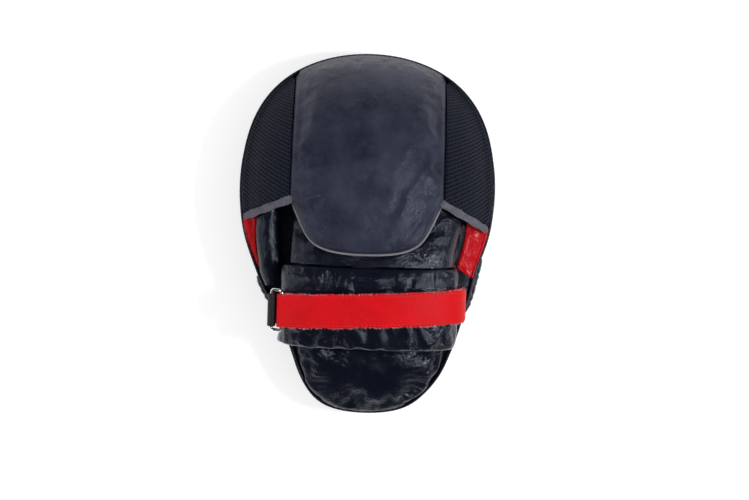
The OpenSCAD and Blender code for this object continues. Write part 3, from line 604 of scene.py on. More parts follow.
def fabric(name, dark, light, threads_per, rough=0.85, depth=0.0003, sheen=0.3, crumple=0.0):
    """Woven cloth or tape: colour follows the weave's height, with painted shade between the threads;
    crumple adds soft folds of about 4 mm to the bump, with painted shade in their valleys and painted light
    on their tops."""
    made, g, shader = material(name, Roughness=rough, Sheen_Weight=sheen, Sheen_Roughness=0.5)
    cloth = use(g, WEAVE, Threads=threads_per)
    height, tone = cloth["Height"], cloth["Height"]
    if crumple:
        fold = g.noise(g.put("ShaderNodeTexCoord", out=3), 240.0, 2.0, 0.55, 0.8)
        height = g.add(height, g.times(fold, crumple))
        tone = g.times(g.add(tone, g.span(fold, 0.3, 0.7)), 0.5)
    # painted shade: low parts of the weave and of the folds are darker, high parts lighter
    colour = g.mix(g.span(tone, 0.1, 0.9), (*dark, 1), (*light, 1))
    g.tree.links.new(colour, shader.inputs["Base Color"])
    bump(g, shader, height, depth)
    return made


M["binding"] = fabric("grey_binding_tape", (0.050, 0.047, 0.066), (0.165, 0.156, 0.205), 900.0,
                      depth=0.0005, sheen=0.1, crumple=4.0)
M["lining"] = fabric("lining_cloth", (0.005, 0.005, 0.007), (0.016, 0.016, 0.020), 620.0, sheen=0.1)
M["webbing"] = fabric("black_webbing", (0.0025, 0.0028, 0.0045), (0.009, 0.009, 0.013), 420.0, 0.6,
                      sheen=0.05)
M["edge_line"] = fabric("pale_edge_piping", (0.16, 0.16, 0.19), (0.30, 0.30, 0.34), 1100.0, 0.6)


def knit_material():
    """Air mesh: navy black yarn over holes filled with painted shade."""
    made, g, shader = material("air_mesh", Specular_IOR_Level=0.12)
    net = use(g, KNIT, Across=196.0, Along=150.0)
    yarn = g.mix(net["Wild"], (0.0055, 0.008, 0.019, 1), (0.014, 0.019, 0.040, 1))
    # painted shade: the holes take a near-black colour for the shade inside them
    colour = g.mix(net["Hole"], yarn, (0.0008, 0.0009, 0.0018, 1))
    g.tree.links.new(colour, shader.inputs["Base Color"])
    g.tree.links.new(g.span(net["Hole"], 0.0, 1.0, 0.55, 0.95), shader.inputs["Roughness"])
    bump(g, shader, net["Height"], 0.0007)
    return made


def noise_material(name, dark, light, scale, depth, rough=0.8, **sockets):
    """Foam, gel, pile, thread or fibre: two colours by a noise that also gives the bump."""
    made, g, shader = material(name, Roughness=rough, **sockets)
    spots = g.noise(g.put("ShaderNodeTexCoord", out=3), scale, 3.0, 0.6)
    g.tree.links.new(g.mix(g.span(spots, 0.3, 0.7), (*dark, 1), (*light, 1)), shader.inputs["Base Color"])
    bump(g, shader, spots, depth)
    return made


M["mesh"] = knit_material()
M["pile"] = noise_material("loop_pile", (0.004, 0.004, 0.005), (0.03, 0.03, 0.034), 1500.0, 0.0008, 0.95,
                           Sheen_Weight=0.4)
M["foam"] = noise_material("pad_foam", (0.035, 0.037, 0.042), (0.06, 0.063, 0.07), 700.0, 0.0003)
M["gel"] = noise_material("gel_sheet_blue", (0.07, 0.15, 0.27), (0.12, 0.22, 0.36), 60.0, 0.0003, 0.25)
M["thread"] = noise_material("black_thread", (0.006, 0.006, 0.008), (0.03, 0.03, 0.036), 2500.0, 0.0001,
                             0.5)
M["red_thread"] = noise_material("red_thread", (0.30, 0.004, 0.008), (0.50, 0.012, 0.018), 2500.0, 0.0001,
                                 0.5)
M["fibre"] = noise_material("leather_fibre", (0.55, 0.10, 0.12), (0.80, 0.42, 0.45), 900.0, 0.0001, 0.8)


def chrome_material():
    """Plated wire: bright metal with faint clouding in its roughness."""
    made, g, shader = material("chrome_plating", Metallic=1.0, Base_Color=(0.78, 0.79, 0.81, 1))
    cloud = g.noise(g.put("ShaderNodeTexCoord", out=3), 160.0, 3.0)
    tone = g.mix(g.span(cloud, 0.3, 0.7), (0.72, 0.73, 0.76, 1), (0.84, 0.85, 0.87, 1))
    g.tree.links.new(tone, shader.inputs["Base Color"])
    g.tree.links.new(g.span(cloud, 0.3, 0.7, 0.06, 0.16), shader.inputs["Roughness"])
    return made


M["chrome"] = chrome_material()


def finish_piece(obj, look, body=None, stands_for=()):
    """Gives a piece its material and slot, and says what it rides on and what it stands for."""
    obj.data.materials.clear()
    obj.data.materials.append(M[look])
    if body:
        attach(obj, body)
    if stands_for:
        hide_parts(*stands_for)
    return obj


def edge_mask(shares, width=0.06):
    """1 at the ends of a row of shares from 0 to 1, fading inwards over the width."""
    return np.clip(1 - np.minimum(shares, 1 - shares) / width, 0, 1)


# ---- The strike pad ----


def strike_skin():
    """Leather tray: the face with two sewn target rings, the rolled edge, the bulging wall, and the same
    inside."""
    core = outline(EDGE_R)
    rows, edge = [], []
    for k in np.linspace(0.02, 1, 66):
        p = lift(core, 0, k)
        r = np.hypot(k * core[:, 0], k * core[:, 1] - 6)
        groove = sum(0.9 * np.exp(-((r - ring) / 1.5) ** 2) for ring in (26, 52))
        p[:, 2] += groove + 0.35 * (1 + ripple(p[:, 0], p[:, 1], 60, 3)) * smooth((1 - k) * 4)
        rows.append(p)
        edge.append(0)
    for a in np.radians([78, 66, 54, 42, 30, 20, 10]):
        rows.append(lift(outline(EDGE_R - EDGE_R * math.cos(a)), EDGE_R - EDGE_R * math.sin(a)))
        edge.append(0.35)
    around = 1.0 * np.arange(len(core))
    for h in np.linspace(EDGE_R, WALL_H, 12):
        s = (h - EDGE_R) / (WALL_H - EDGE_R)
        pucker = 0.14 * ripple(around, 0, 9, 17) * s**2
        bulge = 0.7 * math.sin(math.pi * min(1, s * 1.02))
        plan = outline(0)
        out = unit(plan - outline(1))
        rows.append(lift(plan + out * (bulge + pucker)[:, None], h))
        edge.append(0.9 if s > 0.93 else 0.25)
    rows.append(lift(outline(SKIN_T), WALL_H))
    rows += [lift(outline(SKIN_T), h) for h in (WALL_H - 6, 20)]
    for a in np.radians([0, 22.5, 45, 67.5]):
        inner_r = EDGE_R - SKIN_T
        rows.append(lift(outline(EDGE_R - inner_r * math.cos(a)), EDGE_R - inner_r * math.sin(a)))
    rows += [lift(core, SKIN_T + 0.3, k) for k in (1, 0.8, 0.6, 0.4, 0.2, 0.02)]
    rows = np.array(rows)
    rows[..., 2] = np.maximum(rows[..., 2], 0)
    masks = {"edge": np.array(edge + [0] * (len(rows) - len(edge)))[:, None]}
    obj = loft("strike_skin", rows, masks=masks)
    finish_piece(obj, "pad", "mitt", ["strike_cover"])
    for ring in (26, 52):
        t = np.linspace(0, 2 * math.pi, 160)
        x, y = ring * np.cos(t), 6 + ring * np.sin(t)
        path = np.stack([x, y, arch(y) + 1.1], -1)
        row = threads(f"target_stitches_{ring}", path, (0, 0, -1), 4.0, 2.8, 0.35, False)
        finish_piece(row, "thread", "mitt")


def pad_layer(name, inset, low, high, look, node, puff=0.0, creased=False):
    """A layer of the pad: the plan at an inset between two heights; the top puffs in its middle."""
    plan = outline(inset)
    rows = [lift(plan, low, k) for k in np.linspace(0.04, 0.98, 12)]
    rows += [lift(plan, low + (high - low) * s) for s in (0.15, 0.5, 0.85)]
    tops = []
    for k in np.linspace(0.98, 0.04, 40 if creased else 14):
        p = lift(plan, high, k)
        if puff:
            wave = 1 + ripple(p[:, 0], p[:, 1], 45, 5)
            p[:, 2] += puff * (1 - k**6) * 0.5 * wave * smooth((1 - k) * 12)
        tops.append(p)
    return finish_piece(loft(name, np.array(rows + tops)), look, "mitt", [node])


strike_skin()
pad_layer("gel_layer", EDGE_R - 1, 2.3, 7.3, "gel", "gel_sheet")
pad_layer("impact_foam_layer", 6.6, 7.8, 22.9, "foam", "impact_foam")
pad_layer("comfort_foam_layer", SKIN_T + 0.5, 23.4, 31.5, "foam", "comfort_foam")
pad_layer("palm_side_panel", SKIN_T + 0.3, 32.2, 33.9, "black", "back_panel", 0.6, True)


def rim_piping():
    """Rim piping: a tube along the plan's edge, pulled in a little at each stitch, with the stitch row
    beside it."""
    path = lift(outline(RIM_INSET, 176, 88, 96), WALL_H + GAP + RIM_R)
    _, side, up = frames(path, loop=True)
    n = len(path)
    pull = 1 - 0.05 * (np.arange(n) % 2)
    ring = circle(12)[None] * (RIM_R * pull)[:, None, None]
    rings = path[:, None] + ring[..., :1] * side[:, None] + ring[..., 1:] * up[:, None]
    obj = loft("rim_piping_tube", rings, "loop", {"edge": np.clip(ring[..., 1] / RIM_R, 0, 1) ** 2 * 0.7})
    finish_piece(obj, "pad", "mitt", ["rim_piping"])
    plan = outline(0, 176, 88, 96)
    seams = (("rim_stitches_high", WALL_H - 2.2, 0.22), ("wall_stitches_low", EDGE_R + 1.5, 0.12))
    for name, h, out in seams:
        ups = np.concatenate([unit(plan - outline(1, 176, 88, 96)), np.zeros((n, 1))], 1)
        row = lift(plan + ups[:, :2] * out, h)
        row, ups = np.concatenate([row, row[:1]]), np.concatenate([ups, ups[:1]])
        finish_piece(threads(name, row, ups, 3.6, 2.6, 0.32), "thread", "mitt")


rim_piping()

# ---- The heel cushion ----

HEEL_INSET = RIM_INSET + RIM_R + 1
HEEL_TOP = WRIST_Y - CUFF_L / 2 - 1
HEEL_CY = (HEEL_TOP + HEEL_INSET - HALF_L) / 2


def heel_plan(a, k):
    """Half disc: the heel rim's width at each y, with tight corners under the cuff's hem, scaled by k
    about its middle."""
    y = HEEL_CY + (HEEL_TOP + 3.5 * (np.sin(a) > 0) - HEEL_CY) * np.sin(a)
    round_off = np.where(np.sin(a) > 0, np.abs(np.cos(a)) ** 0.1, 1.0)
    side = np.sign(np.round(np.cos(a), 9))
    return np.stack([k * side * half_width(y, HEEL_INSET) * round_off, HEEL_CY + k * (y - HEEL_CY)], -1)


def heel_cushion():
    """Crowned cushion: its height over the plan is a rounded profile, with wrinkles that run in from the
    rim."""
    fine = np.linspace(0, 2 * math.pi, 2400)
    plan = heel_plan(fine, 1.0)
    run = lengths(plan[None], 1)[0]
    a = np.interp(np.linspace(0, run[-1], 241)[:-1], run, fine)
    profile = [(0.03, 0.02), (0.3, 0.02), (0.6, 0.02), (0.9, 0.02), (0.98, 0.06), (1, 0.2), (1, 0.3),
               (0.99, 0.42), (0.97, 0.54), (0.94, 0.65), (0.90, 0.745), (0.85, 0.81), (0.79, 0.86),
               (0.72, 0.9), (0.64, 0.935), (0.55, 0.962), (0.46, 0.98), (0.36, 0.992), (0.25, 0.998),
               (0.14, 1), (0.03, 1)]
    rows, edge = [], []
    low_side = smooth(-np.sin(a) * 4)
    for k, h in profile:
        plan = heel_plan(a, k)
        over_rim = 1.7 * low_side * smooth((h - 0.24) / 0.1) * smooth((k - 0.8) / 0.15)
        plan = plan + unit(plan - [0, HEEL_CY]) * over_rim[:, None]
        p = lift(plan, WALL_H + GAP + 10 * h)
        if h > 0.5:
            pull = smooth((k - 0.45) / 0.5) * smooth((1.02 - k) * 12)
            pinch = 0.45 * (ripple(a * 26, a * 7, 6.5, 8) + 0.5 * ripple(a * 60, a * 9, 6, 9))
            p[:, 2] += pinch * pull + 0.35 * ripple(p[:, 0], p[:, 1], 26, 12) * smooth((1 - k) * 3)
        rows.append(p)
        edge.append(float(0.5 < h < 0.85))
    obj = loft("heel_pad", np.array(rows), masks={"edge": np.array(edge)[:, None] * 0.5})
    return swollen(obj, lambda x, y, z: z < WALL_H + 3.5 + arch(y), cap=2.5)


finish_piece(heel_cushion(), "black", "mitt", ["heel_cushion"])


GRIP_R, GRIP_Y, GRIP_H = 25, -3, 11


def palm_grip():
    """Round grip pad in the palm: a low dome with a softened foot."""
    profile = [(0.05, 0), (0.7, 0), (0.97, 0.0), (1, 0.1), (0.985, 0.25), (0.94, 0.42), (0.86, 0.58),
               (0.75, 0.72), (0.6, 0.85), (0.42, 0.94), (0.22, 0.99), (0.05, 1)]
    rows = []
    for k, h in profile:
        ring = circle(96) * GRIP_R * k
        x, y = ring[:, 0], ring[:, 1] + GRIP_Y
        z = WALL_H + GAP + arch(0) + GRIP_H * h + 0.25 * ripple(x, y, 14, 4) * (h > 0.3)
        rows.append(np.stack([x, y, z], -1))
    finish_piece(loft("palm_grip_pad", np.array(rows)), "black", "mitt", ["palm_grip"])


palm_grip()

# ---- The hood and its tongue ----


def tongue_share(down):
    """Share of the tongue's half width at a share of its length: it narrows evenly by 0.33, and its end
    is round."""
    down = np.clip(down, 0, 1)
    return (1 - 0.33 * down) * (1 - down**8) ** 0.4


def panel_top_y(x):
    """Y of the rim's inside over the centre panel, found in rounds because the widening depends on it."""
    y = TOP_Y + TOP_R
    for _ in range(6):
        y = TOP_Y + np.sqrt((TOP_R - MESH_INSET) ** 2 - (x / wide(y)) ** 2)
    return y


def swell(x, y):
    """Share of fullness: 1 - |u|^4 across times 1 - v^5 towards the sewn ends, for the panel and for the
    tongue."""
    down = np.clip((HINGE_Y - 0.3 - y) / TONGUE_L, 0, 1)
    top = panel_top_y(np.clip(x, -60, 60))
    v = np.where(y > HINGE_Y, (y - HINGE_Y) / (top - HINGE_Y), np.arcsin(down) * 2 / math.pi)
    v = np.clip(v, 0, 1)
    u = np.clip(np.abs(x) / (PANEL_W * np.maximum(tongue_share(down), 0.02)), 0, 1)
    return (1 - u**4) * (1 - v**5)


HOOD_RIDGES = [
    (-55, 58, -38, 78, 2.2, 0.65), (-56, 50, -34, 62, 2.5, 0.76), (-56, 42, -38, 47, 1.9, 0.66),
    (-55, 30, -32, 41, 2.0, 0.68), (-54, 24, -30, 27, 1.9, 0.57), (-44, 10, -30, 22, 2.2, 0.47),
    (16, 42, 30, 66, 2.3, 0.61), (30, 30, 46, 58, 2.5, 0.80), (44, 22, 56, 46, 2.2, 0.76),
    (10, 14, 20, 44, 4.9, 0.95), (34, 4, 44, 24, 2.3, 0.61), (-6, -6, 0, 30, 5.8, 0.68),
    (54, 58, 42, 80, 2.0, 0.53), (26, -6, 36, 8, 2.0, 0.57), (38, 44, 52, 60, 1.9, 0.61),
    (-50, 66, -40, 88, 1.9, 0.53), (22, 10, 30, 30, 3.8, 0.76)]


def hood_top(x, y):
    """Outer height of the hood: the dome, 4 mm of crown by the fullness, soft waves and the photographed
    creases."""
    full = swell(x, y)
    z = dome(x, y) + CROWN_H * full
    soft = smooth(full * 1.6)
    low = smooth((100 - y) / 50)
    waves = 0.4 * ripple(x, y, 34, 21) + 0.22 * ripple(x, y * 0.7, 9, 22)
    z += soft * (folds(x, y, HOOD_RIDGES) * smooth((104 - y) / 30) + low * waves)
    return z


def hood_edge():
    """The hood's plan: up the right side, over the rim's circle, down the left, and round the tongue."""
    top = panel_top_y(PANEL_W)
    x = np.linspace(PANEL_W, -PANEL_W, 200)
    v = np.linspace(0, 1, 160)
    tx = -PANEL_W * tongue_share(np.sin(v * math.pi / 2))
    ty = HINGE_Y - TONGUE_L * np.sin(v * math.pi / 2)
    right = np.stack([np.full(60, PANEL_W), np.linspace(HINGE_Y, top, 60)], -1)
    over = np.stack([x, panel_top_y(x)], -1)
    left = np.stack([np.full(60, -PANEL_W), np.linspace(top, HINGE_Y, 60)], -1)
    tongue = np.stack([tx, ty], -1)
    back = np.stack([-tx[::-1], ty[::-1]], -1)
    return np.concatenate([right[:-1], over[:-1], left[:-1], tongue[:-1], back])


HOOD_MID = np.array([0.0, 46.0])


def hood_shell(name, inset, depths, n, puckers=0.0, mid_rows=46):
    """Closed cushion in the hood's plan: rings scaled about its middle, over the top, round the edge in a
    half circle, and back underneath. depths gives the top's and underside's distance below the outer
    height."""
    plan = resample(hood_edge(), n)[:-1]
    out = unit(plan - HOOD_MID)
    edge_run = lengths(plan[None], 1)[0]
    on_rim = smooth((55.9 - np.abs(plan[:, 0])) / 4) * (plan[:, 1] > 100)
    rows, marks = [], []

    def row(k, share, mark):
        """One ring at scale k; share 0 is the top surface and 1 the underside."""
        p = HOOD_MID + (plan - HOOD_MID) * k - out * inset
        full = swell(p[:, 0], p[:, 1])
        depth = PANEL_EDGE + PANEL_MORE * full
        top, under = depths[0], depth - depths[1]
        z = hood_top(p[:, 0], p[:, 1]) - (top + (under - top) * share)
        over = on_rim * smooth((k - 0.6) / 0.36) * (1 - smooth((share - 0.45) / 0.2))
        p = p + out * (1.9 * over)[:, None]
        x, y = p[:, 0], p[:, 1]
        z = np.maximum(z, WALL_H + 0.35 + arch(y) + 2.45 * over * (k > 0.9))
        if puckers and share < 0.5:
            pucker = puckers * np.cos(edge_run * 2 * math.pi / 5.2)
            z += pucker * smooth((k - 0.86) / 0.1) * smooth((1.0 - k) / 0.02)
        rows.append(np.stack([x, y, z], -1))
        marks.append(mark)

    shares = 1 - (1 - np.linspace(0.012, 1, mid_rows)) ** 1.5
    for k in shares * 0.955:
        row(k, 0, 0)
    for a in np.radians([15, 30, 45, 60, 75, 90, 105, 120, 135, 150, 165]):
        mark = 0.7 if 35 < math.degrees(a) < 100 else 0.2
        row(0.955 + 0.045 * math.sin(a), 0.5 - 0.5 * math.cos(a), mark)
    for k in (shares * 0.955)[::-2]:
        row(k, 1, 0)
    return loft(name, np.array(rows), masks={"edge": np.array(marks)[:, None]})


def bend_at_hinge(obj):
    """Bakes a hood piece's placement into its mesh; it is not bent at the hinge line."""
    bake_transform(obj)


def hood_held(x, y, z):
    """Sewn edge and underside of the hood: where the fullness is small or the point lies 3 mm below the
    top."""
    return (swell(x, y) < 0.12) | (z < hood_top(x, y) - 3)


hood = swollen(hood_shell("hood_pad", 0.0, (0.0, 1.3), 1.9, 0.22), hood_held, cap=0.9, slack=0.012)
finish_piece(hood, "charcoal", None,
             ["hood_panel_cover", "hood_panel_gel", "hood_panel_foam", "tongue_cover", "tongue_foam"])
bend_at_hinge(hood)


def hood_lining():
    """Cloth under the hood and tongue: a thin skin a little inside the panel's edge."""
    plan = resample(hood_edge(), 4.0)[:-1]
    rows = []
    for k, low in [(k, 1.25) for k in np.linspace(0.03, 0.95, 22)] + [(0.965, 0.6)] + \
            [(k, 0.0) for k in np.linspace(0.95, 0.03, 22)]:
        p = HOOD_MID + (plan - HOOD_MID) * k
        full = swell(p[:, 0], p[:, 1])
        z = dome(p[:, 0], p[:, 1]) + CROWN_H * full - (PANEL_EDGE + PANEL_MORE * full) + low
        rows.append(np.stack([p[:, 0], p[:, 1], z], -1))
    obj = finish_piece(loft("hood_lining_cloth", np.array(rows)), "lining", None,
                       ["hood_panel_lining", "tongue_lining"])
    bend_at_hinge(obj)


hood_lining()


def tongue_piping():
    """Pale piping round the tongue's free edge, half under the padding, pulled in at its stitches."""
    v = np.concatenate([np.linspace(0.06, 1, 90), np.linspace(1, 0.06, 90)[1:]])
    side = np.concatenate([np.full(90, 1.0), np.full(89, -1.0)])
    x = side * PANEL_W * tongue_share(np.sin(v * math.pi / 2))
    y = HINGE_Y - 0.3 - TONGUE_L * np.sin(v * math.pi / 2)
    z = dome(x, y) - PANEL_EDGE + 1.9
    out = unit(np.stack([x / PANEL_W, (y - HINGE_Y) / TONGUE_L], -1))
    path = resample(np.stack([x + out[:, 0] * 0.35, y + out[:, 1] * 0.35, z], -1), 1.3)
    _, side, up = frames(path)
    size = 0.85 + 0.08 * np.cos(np.arange(len(path)) * 2.1)
    size *= np.minimum(1, 0.3 + np.minimum(np.arange(len(path)), np.arange(len(path))[::-1]) / 6)
    ring = circle(10)[None] * size[:, None, None]
    obj = sweep("tongue_edge_piping", path, side, up, ring)
    finish_piece(obj, "edge_line", None, ["tongue_piping"])
    bend_at_hinge(obj)


tongue_piping()

# ---- Air mesh at both sides, with its binding ----

MESH_X = PANEL_W + 0.5
SEAM_Y1 = float(panel_top_y(MESH_X)) - 3
RIM_A = math.asin((SEAM_Y1 + 3 - TOP_Y) / (TOP_R - MESH_INSET)) - math.radians(1.5)


def mesh_plan(u, v, low):
    """From the seam with the centre panel (u = 0) straight to the rim's circle (u = 1); v runs up."""
    low_a = math.asin((low - TOP_Y) / (TOP_R - MESH_INSET))
    a = low_a + (RIM_A - low_a) * v
    rx, ry = (TOP_R - MESH_INSET) * np.cos(a), TOP_Y + (TOP_R - MESH_INSET) * np.sin(a)
    rx = rx * wide(ry)
    sx, sy = MESH_X + 0 * v, HINGE_Y + 0.3 + (SEAM_Y1 - HINGE_Y - 0.3) * v
    return sx + (rx - sx) * u, sy + (ry - sy) * u


def mesh_side(side, low, node):
    """Spacer mesh panel: follows the dome, full between its seams, with rounded long edges."""
    u, v = np.meshgrid(np.linspace(0, 1, 40), np.linspace(0, 1, 96), indexing="ij")
    x, y = mesh_plan(u, v, low)
    edge = np.minimum(np.minimum(u, 1 - u) * 30, np.minimum(v, 1 - v) * 90)
    drop = 1.0 - np.sqrt(np.clip(1 - (1 - np.clip(edge / 2.0, 0, 1)) ** 2, 0, 1))
    full = 0.5 * np.sin(math.pi * u) * np.sin(math.pi * v)
    z = dome(x, y) + full + 0.35 * ripple(x, y, 24, 31) - 1.2 * drop
    inner = np.stack([x * side, y, dome(x, y) - MESH_T], -1)
    over = smooth((u - 0.9) / 0.06)
    roll = 0.8 * np.sqrt(np.clip(1 - ((u - 0.9) / 0.1) ** 2, 0, 1))
    z = np.maximum(z, over * (WALL_H + 2.9 + arch(y) + roll))
    away = unit(np.stack([x, y - TOP_Y], -1)) * (1.3 * over)[..., None]
    outer = np.stack([(x + away[..., 0]) * side, y + away[..., 1], z], -1)
    obj = plate(f"mesh_panel_{node[5:]}", outer, inner, {"edge": 1 - np.clip(edge / 3, 0, 1)})
    return finish_piece(obj, "mesh", "mitt", [node])


mesh_side(-1, MESH_LOW_LEFT, "mesh_left")
mesh_side(1, MESH_LOW_RIGHT, "mesh_right")


def mesh_binding(side, low, node):
    """Binding tape folded over the mesh's lower edge: a flat oval along it, puckered by its stitches."""
    u = np.linspace(-0.06, 1.05, 74)
    x, y = mesh_plan(u, 0 * u, low)
    ends = [mesh_plan(t, 0.0, low) for t in (0.0, 1.0)]
    down = unit(np.array([ends[0][1] - ends[1][1], ends[1][0] - ends[0][0]])) * -2.3
    x, y = x + down[0], y + down[1]
    path = resample(np.stack([x * side, y, dome(x, y) - 0.75], -1), 0.6)
    at = np.abs(path[:, 0])
    normal = np.stack([(dome(at - 0.5, path[:, 1]) - dome(at + 0.5, path[:, 1])) * side,
                       dome(at, path[:, 1] - 0.5) - dome(at, path[:, 1] + 0.5), np.ones(len(at))], -1)
    _, across, up = frames(path, normal)
    i = np.arange(len(path))
    size = np.minimum(1, 0.35 + np.minimum(i, i[::-1]) / 5)
    size = size * (1 + 0.05 * np.cos(i * 1.25) + 0.1 * np.sin(i * 0.21 + low))
    flat = np.sign(circle(20)) * np.abs(circle(20)) ** 0.75
    ring = flat[None] * np.stack([2.9 * size, 1.0 * size * (1 - 0.08 * np.cos(i * 1.25))], -1)[:, None]
    crumple = 0.55 * ripple(i[:, None] * 0.6, flat[None, :, 0] * 4, 4.5, 33 + low)
    ring = ring + np.stack([0 * crumple, crumple], -1)
    masks = {"edge": circle(20)[None, :, 1] * 0.5}
    obj = sweep(f"binding_tape_{node[13:]}", path, across, up, ring, masks=masks)
    finish_piece(obj, "binding", "mitt", [node])


mesh_binding(-1, MESH_LOW_LEFT, "mesh_binding_left")
mesh_binding(1, MESH_LOW_RIGHT, "mesh_binding_right")

# ---- Red leather and tabs at the sides ----


def rim_x(y):
    return half_width(y) - MESH_INSET


def thumb_room(y):
    """Room between the rim's piping and the thumb stall: 0.8 mm at y = -27 and 0.22 mm more for each mm
    up."""
    return np.maximum(0, 0.8 + 0.22 * (y + 27))


def red_panel(side, y0, y1, width, node):
    """Leather beside the rim: from y0 to y1, its width a function of v, lifted in soft wrinkles across
    it."""
    u, v = np.meshgrid(np.linspace(0, 1, 26), np.linspace(0, 1, 64), indexing="ij")
    y = y0(u) + (y1(u) - y0(u)) * v
    x = rim_x(y) - 0.3 - (1 - u) * width(v)
    fade = smooth(np.minimum(np.minimum(u, 1 - u) * 8, np.minimum(v, 1 - v) * 14))
    wave = ripple(x * 0.35, y, 7.5, 41) + 0.6 * ripple(x, y * 0.5, 5, 42)
    h = WALL_H + GAP + 1.2 + fade * (0.5 + 0.55 * wave)
    over = smooth((u - 0.72) / 0.2)
    h = np.maximum(h, over * (WALL_H + 3.2 - 0.9 * np.clip((u - 0.85) / 0.15, 0, 1) ** 2))
    outer = np.stack([swing(y) + side * (x + 1.5 * over), y, h + arch(y)], -1)
    inner = np.stack([swing(y) + side * x, y, WALL_H + GAP + arch(y)], -1)
    obj = plate(f"red_leather_{node[10:]}", outer, inner, {"edge": 1 - fade})
    return finish_piece(obj, "red_gloss", "mitt", [node])


red_panel(-1, lambda u: -27 + 0 * u, lambda u: 10 + 0 * u, lambda v: 0.4 + (thumb_room(10) - 0.9) * v,
          "red_panel_left")
red_panel(1, lambda u: -31 + 8 * (1 - u), lambda u: 6 + 4 * (1 - u), lambda v: 12.5 + 3 * v,
          "red_panel_right")


def side_tab(side, y0, y1, node):
    """Padded tab sewn on the wall: swells 3 mm from its stitched edges, with folds across it."""
    y, h = np.meshgrid(np.linspace(y0, y1, 44), np.linspace(EDGE_R + 2, WALL_H - 3, 22), indexing="ij")
    s, t = (y - y0) / (y1 - y0), (h - EDGE_R - 2) / (WALL_H - EDGE_R - 5)
    full = (1 - np.abs(2 * s - 1) ** 4) ** 0.6 * (1 - np.abs(2 * t - 1) ** 4) ** 0.6
    out = 0.8 + 2.2 * full + 0.9 * full * ripple(y * 1.6, h * 0.5, 6, 91)
    x = half_width(y) + 0.3
    outer = np.stack([swing(y) + side * (x + out), y, h + arch(y)], -1)
    inner = np.stack([swing(y) + side * x, y, h + arch(y)], -1)
    obj = plate(f"wall_tab_{node[9:]}", outer, inner, {"edge": np.clip(1 - full, 0, 1)})
    return finish_piece(obj, "black", "mitt", [node])


side_tab(-1, -54, -34.2, "side_tab_left")
side_tab(1, -57, -16.2, "side_tab_right")

# ---- The cuff and its frame ----

SLOPE = -math.asin(WRIST_Y / ARCH_R)
WRIST_Z = WALL_H + float(arch(WRIST_Y))


def wrist(points):
    """From the cuff's own frame to the mitt's: turned by the arch's slope about X, then moved to the
    wrist."""
    x, y, z = points[..., 0], points[..., 1], points[..., 2]
    c, s = math.cos(SLOPE), math.sin(SLOPE)
    return np.stack([x + CUFF_X, y * c - z * s + WRIST_Y, y * s + z * c + WRIST_Z], -1)


CUFF_POWER = 0.75


def curl(s):
    """A sine or cosine made squarer: its size to the cuff's power, with its sign."""
    return np.sign(s) * np.abs(s) ** CUFF_POWER


CUFF_ZC = GAP + CUFF_B * math.sin(math.radians(40)) ** CUFF_POWER


def oval(t, off):
    """Cuff oval at t degrees, moved out by off: a squared ellipse with power 0.75."""
    t = np.radians(t)
    return np.stack([(CUFF_A + off) * curl(np.cos(t)), CUFF_ZC + (CUFF_B + off) * curl(np.sin(t))], -1)


def cuff_held(x, y, z):
    """The cuff's inner wall, and its outer wall under the strap: inside an oval 3 mm in, or in the
    strap's band."""
    c, s = math.cos(SLOPE), math.sin(SLOPE)
    along = (y - WRIST_Y) * c + (z - WRIST_Z) * s
    up = (z - WRIST_Z) * c - (y - WRIST_Y) * s - CUFF_ZC
    power = 2 / CUFF_POWER
    inside = (np.abs(x - CUFF_X) / (CUFF_A - 3)) ** power + (np.abs(up) / (CUFF_B - 3)) ** power < 1
    return inside | (np.abs(along - (x - CUFF_X) * SLANT) < STRAP_W / 2 + 1)


def cuff():
    """Padded cuff: a wall section with rounded hems carried round the oval; gathered at the arm's end."""
    t = np.linspace(-40, 220, 220)
    v_out = np.linspace(-0.94, 0.94, 44)
    bend = np.radians(np.linspace(0, 180, 11)[1:-1])
    rings, marks = [], []
    edge = np.concatenate([np.zeros(44), np.where(np.arange(9) < 4, 0.8, 0.2), np.zeros(24),
                           np.where(np.arange(9) > 4, 0.8, 0.2)])
    mid = (CUFF_T - 1.2) / 2
    run = lengths(oval(t, 0)[None], 1)[0]
    for i, a in enumerate(t):
        hem = -2.2 * np.abs(v_out) ** 8
        gather = 0.5 * math.sin(run[i] * 0.38 + 1.3 * math.sin(run[i] * 0.05))
        gather = gather + 0.16 * math.sin(run[i] * 0.93)
        off = hem + gather * smooth((-v_out - 0.55) / 0.35)
        off = off + 0.4 * ripple(run[i] + 0 * v_out, v_out * 30, 30, 51)
        off += 0.5 * np.exp(-((v_out - 0.78) / 0.12) ** 2)
        off += 3.6 * math.exp(-((a - 186) / 16) ** 2) * smooth((-v_out - 0.6) / 0.4)
        y = v_out * CUFF_L / 2
        top = np.stack([off, y], -1)
        end_y = CUFF_L / 2 * (0.94 + 0.06 * np.sin(bend))
        up_end = np.stack([-2.2 - mid + mid * np.cos(bend) + 0.6, end_y], -1)
        low = np.stack([np.full(24, -CUFF_T + 1.3), np.linspace(0.94, -0.94, 24) * CUFF_L / 2], -1)
        down_end = np.stack([-2.2 - mid - mid * np.cos(bend) + 0.6, -end_y], -1)
        ring = np.concatenate([top, up_end, low, down_end])
        p = oval(a, ring[:, 0])
        rings.append(np.stack([p[:, 0], ring[:, 1], np.maximum(p[:, 1], GAP)], -1))
        marks.append(edge)
    obj = loft("wrist_cuff_pad", wrist(np.array(rings)), masks={"edge": np.array(marks)})
    swollen(obj, cuff_held, voxel=3.0, cap=1.4, slack=0.02)
    finish_piece(obj, "black", "mitt", ["cuff_cover", "cuff_foam"])
    t, v = np.meshgrid(np.linspace(-40, 220, 120), np.linspace(-0.95, 0.95, 30), indexing="ij")
    sheets = []
    for off in (1.2 - CUFF_T, -CUFF_T):
        p = oval(t, off)
        sheets.append(wrist(np.stack([p[..., 0], v * CUFF_L / 2, np.maximum(p[..., 1], GAP)], -1)))
    finish_piece(plate("cuff_lining_cloth", *sheets), "lining", "mitt", ["cuff_lining"])


cuff()


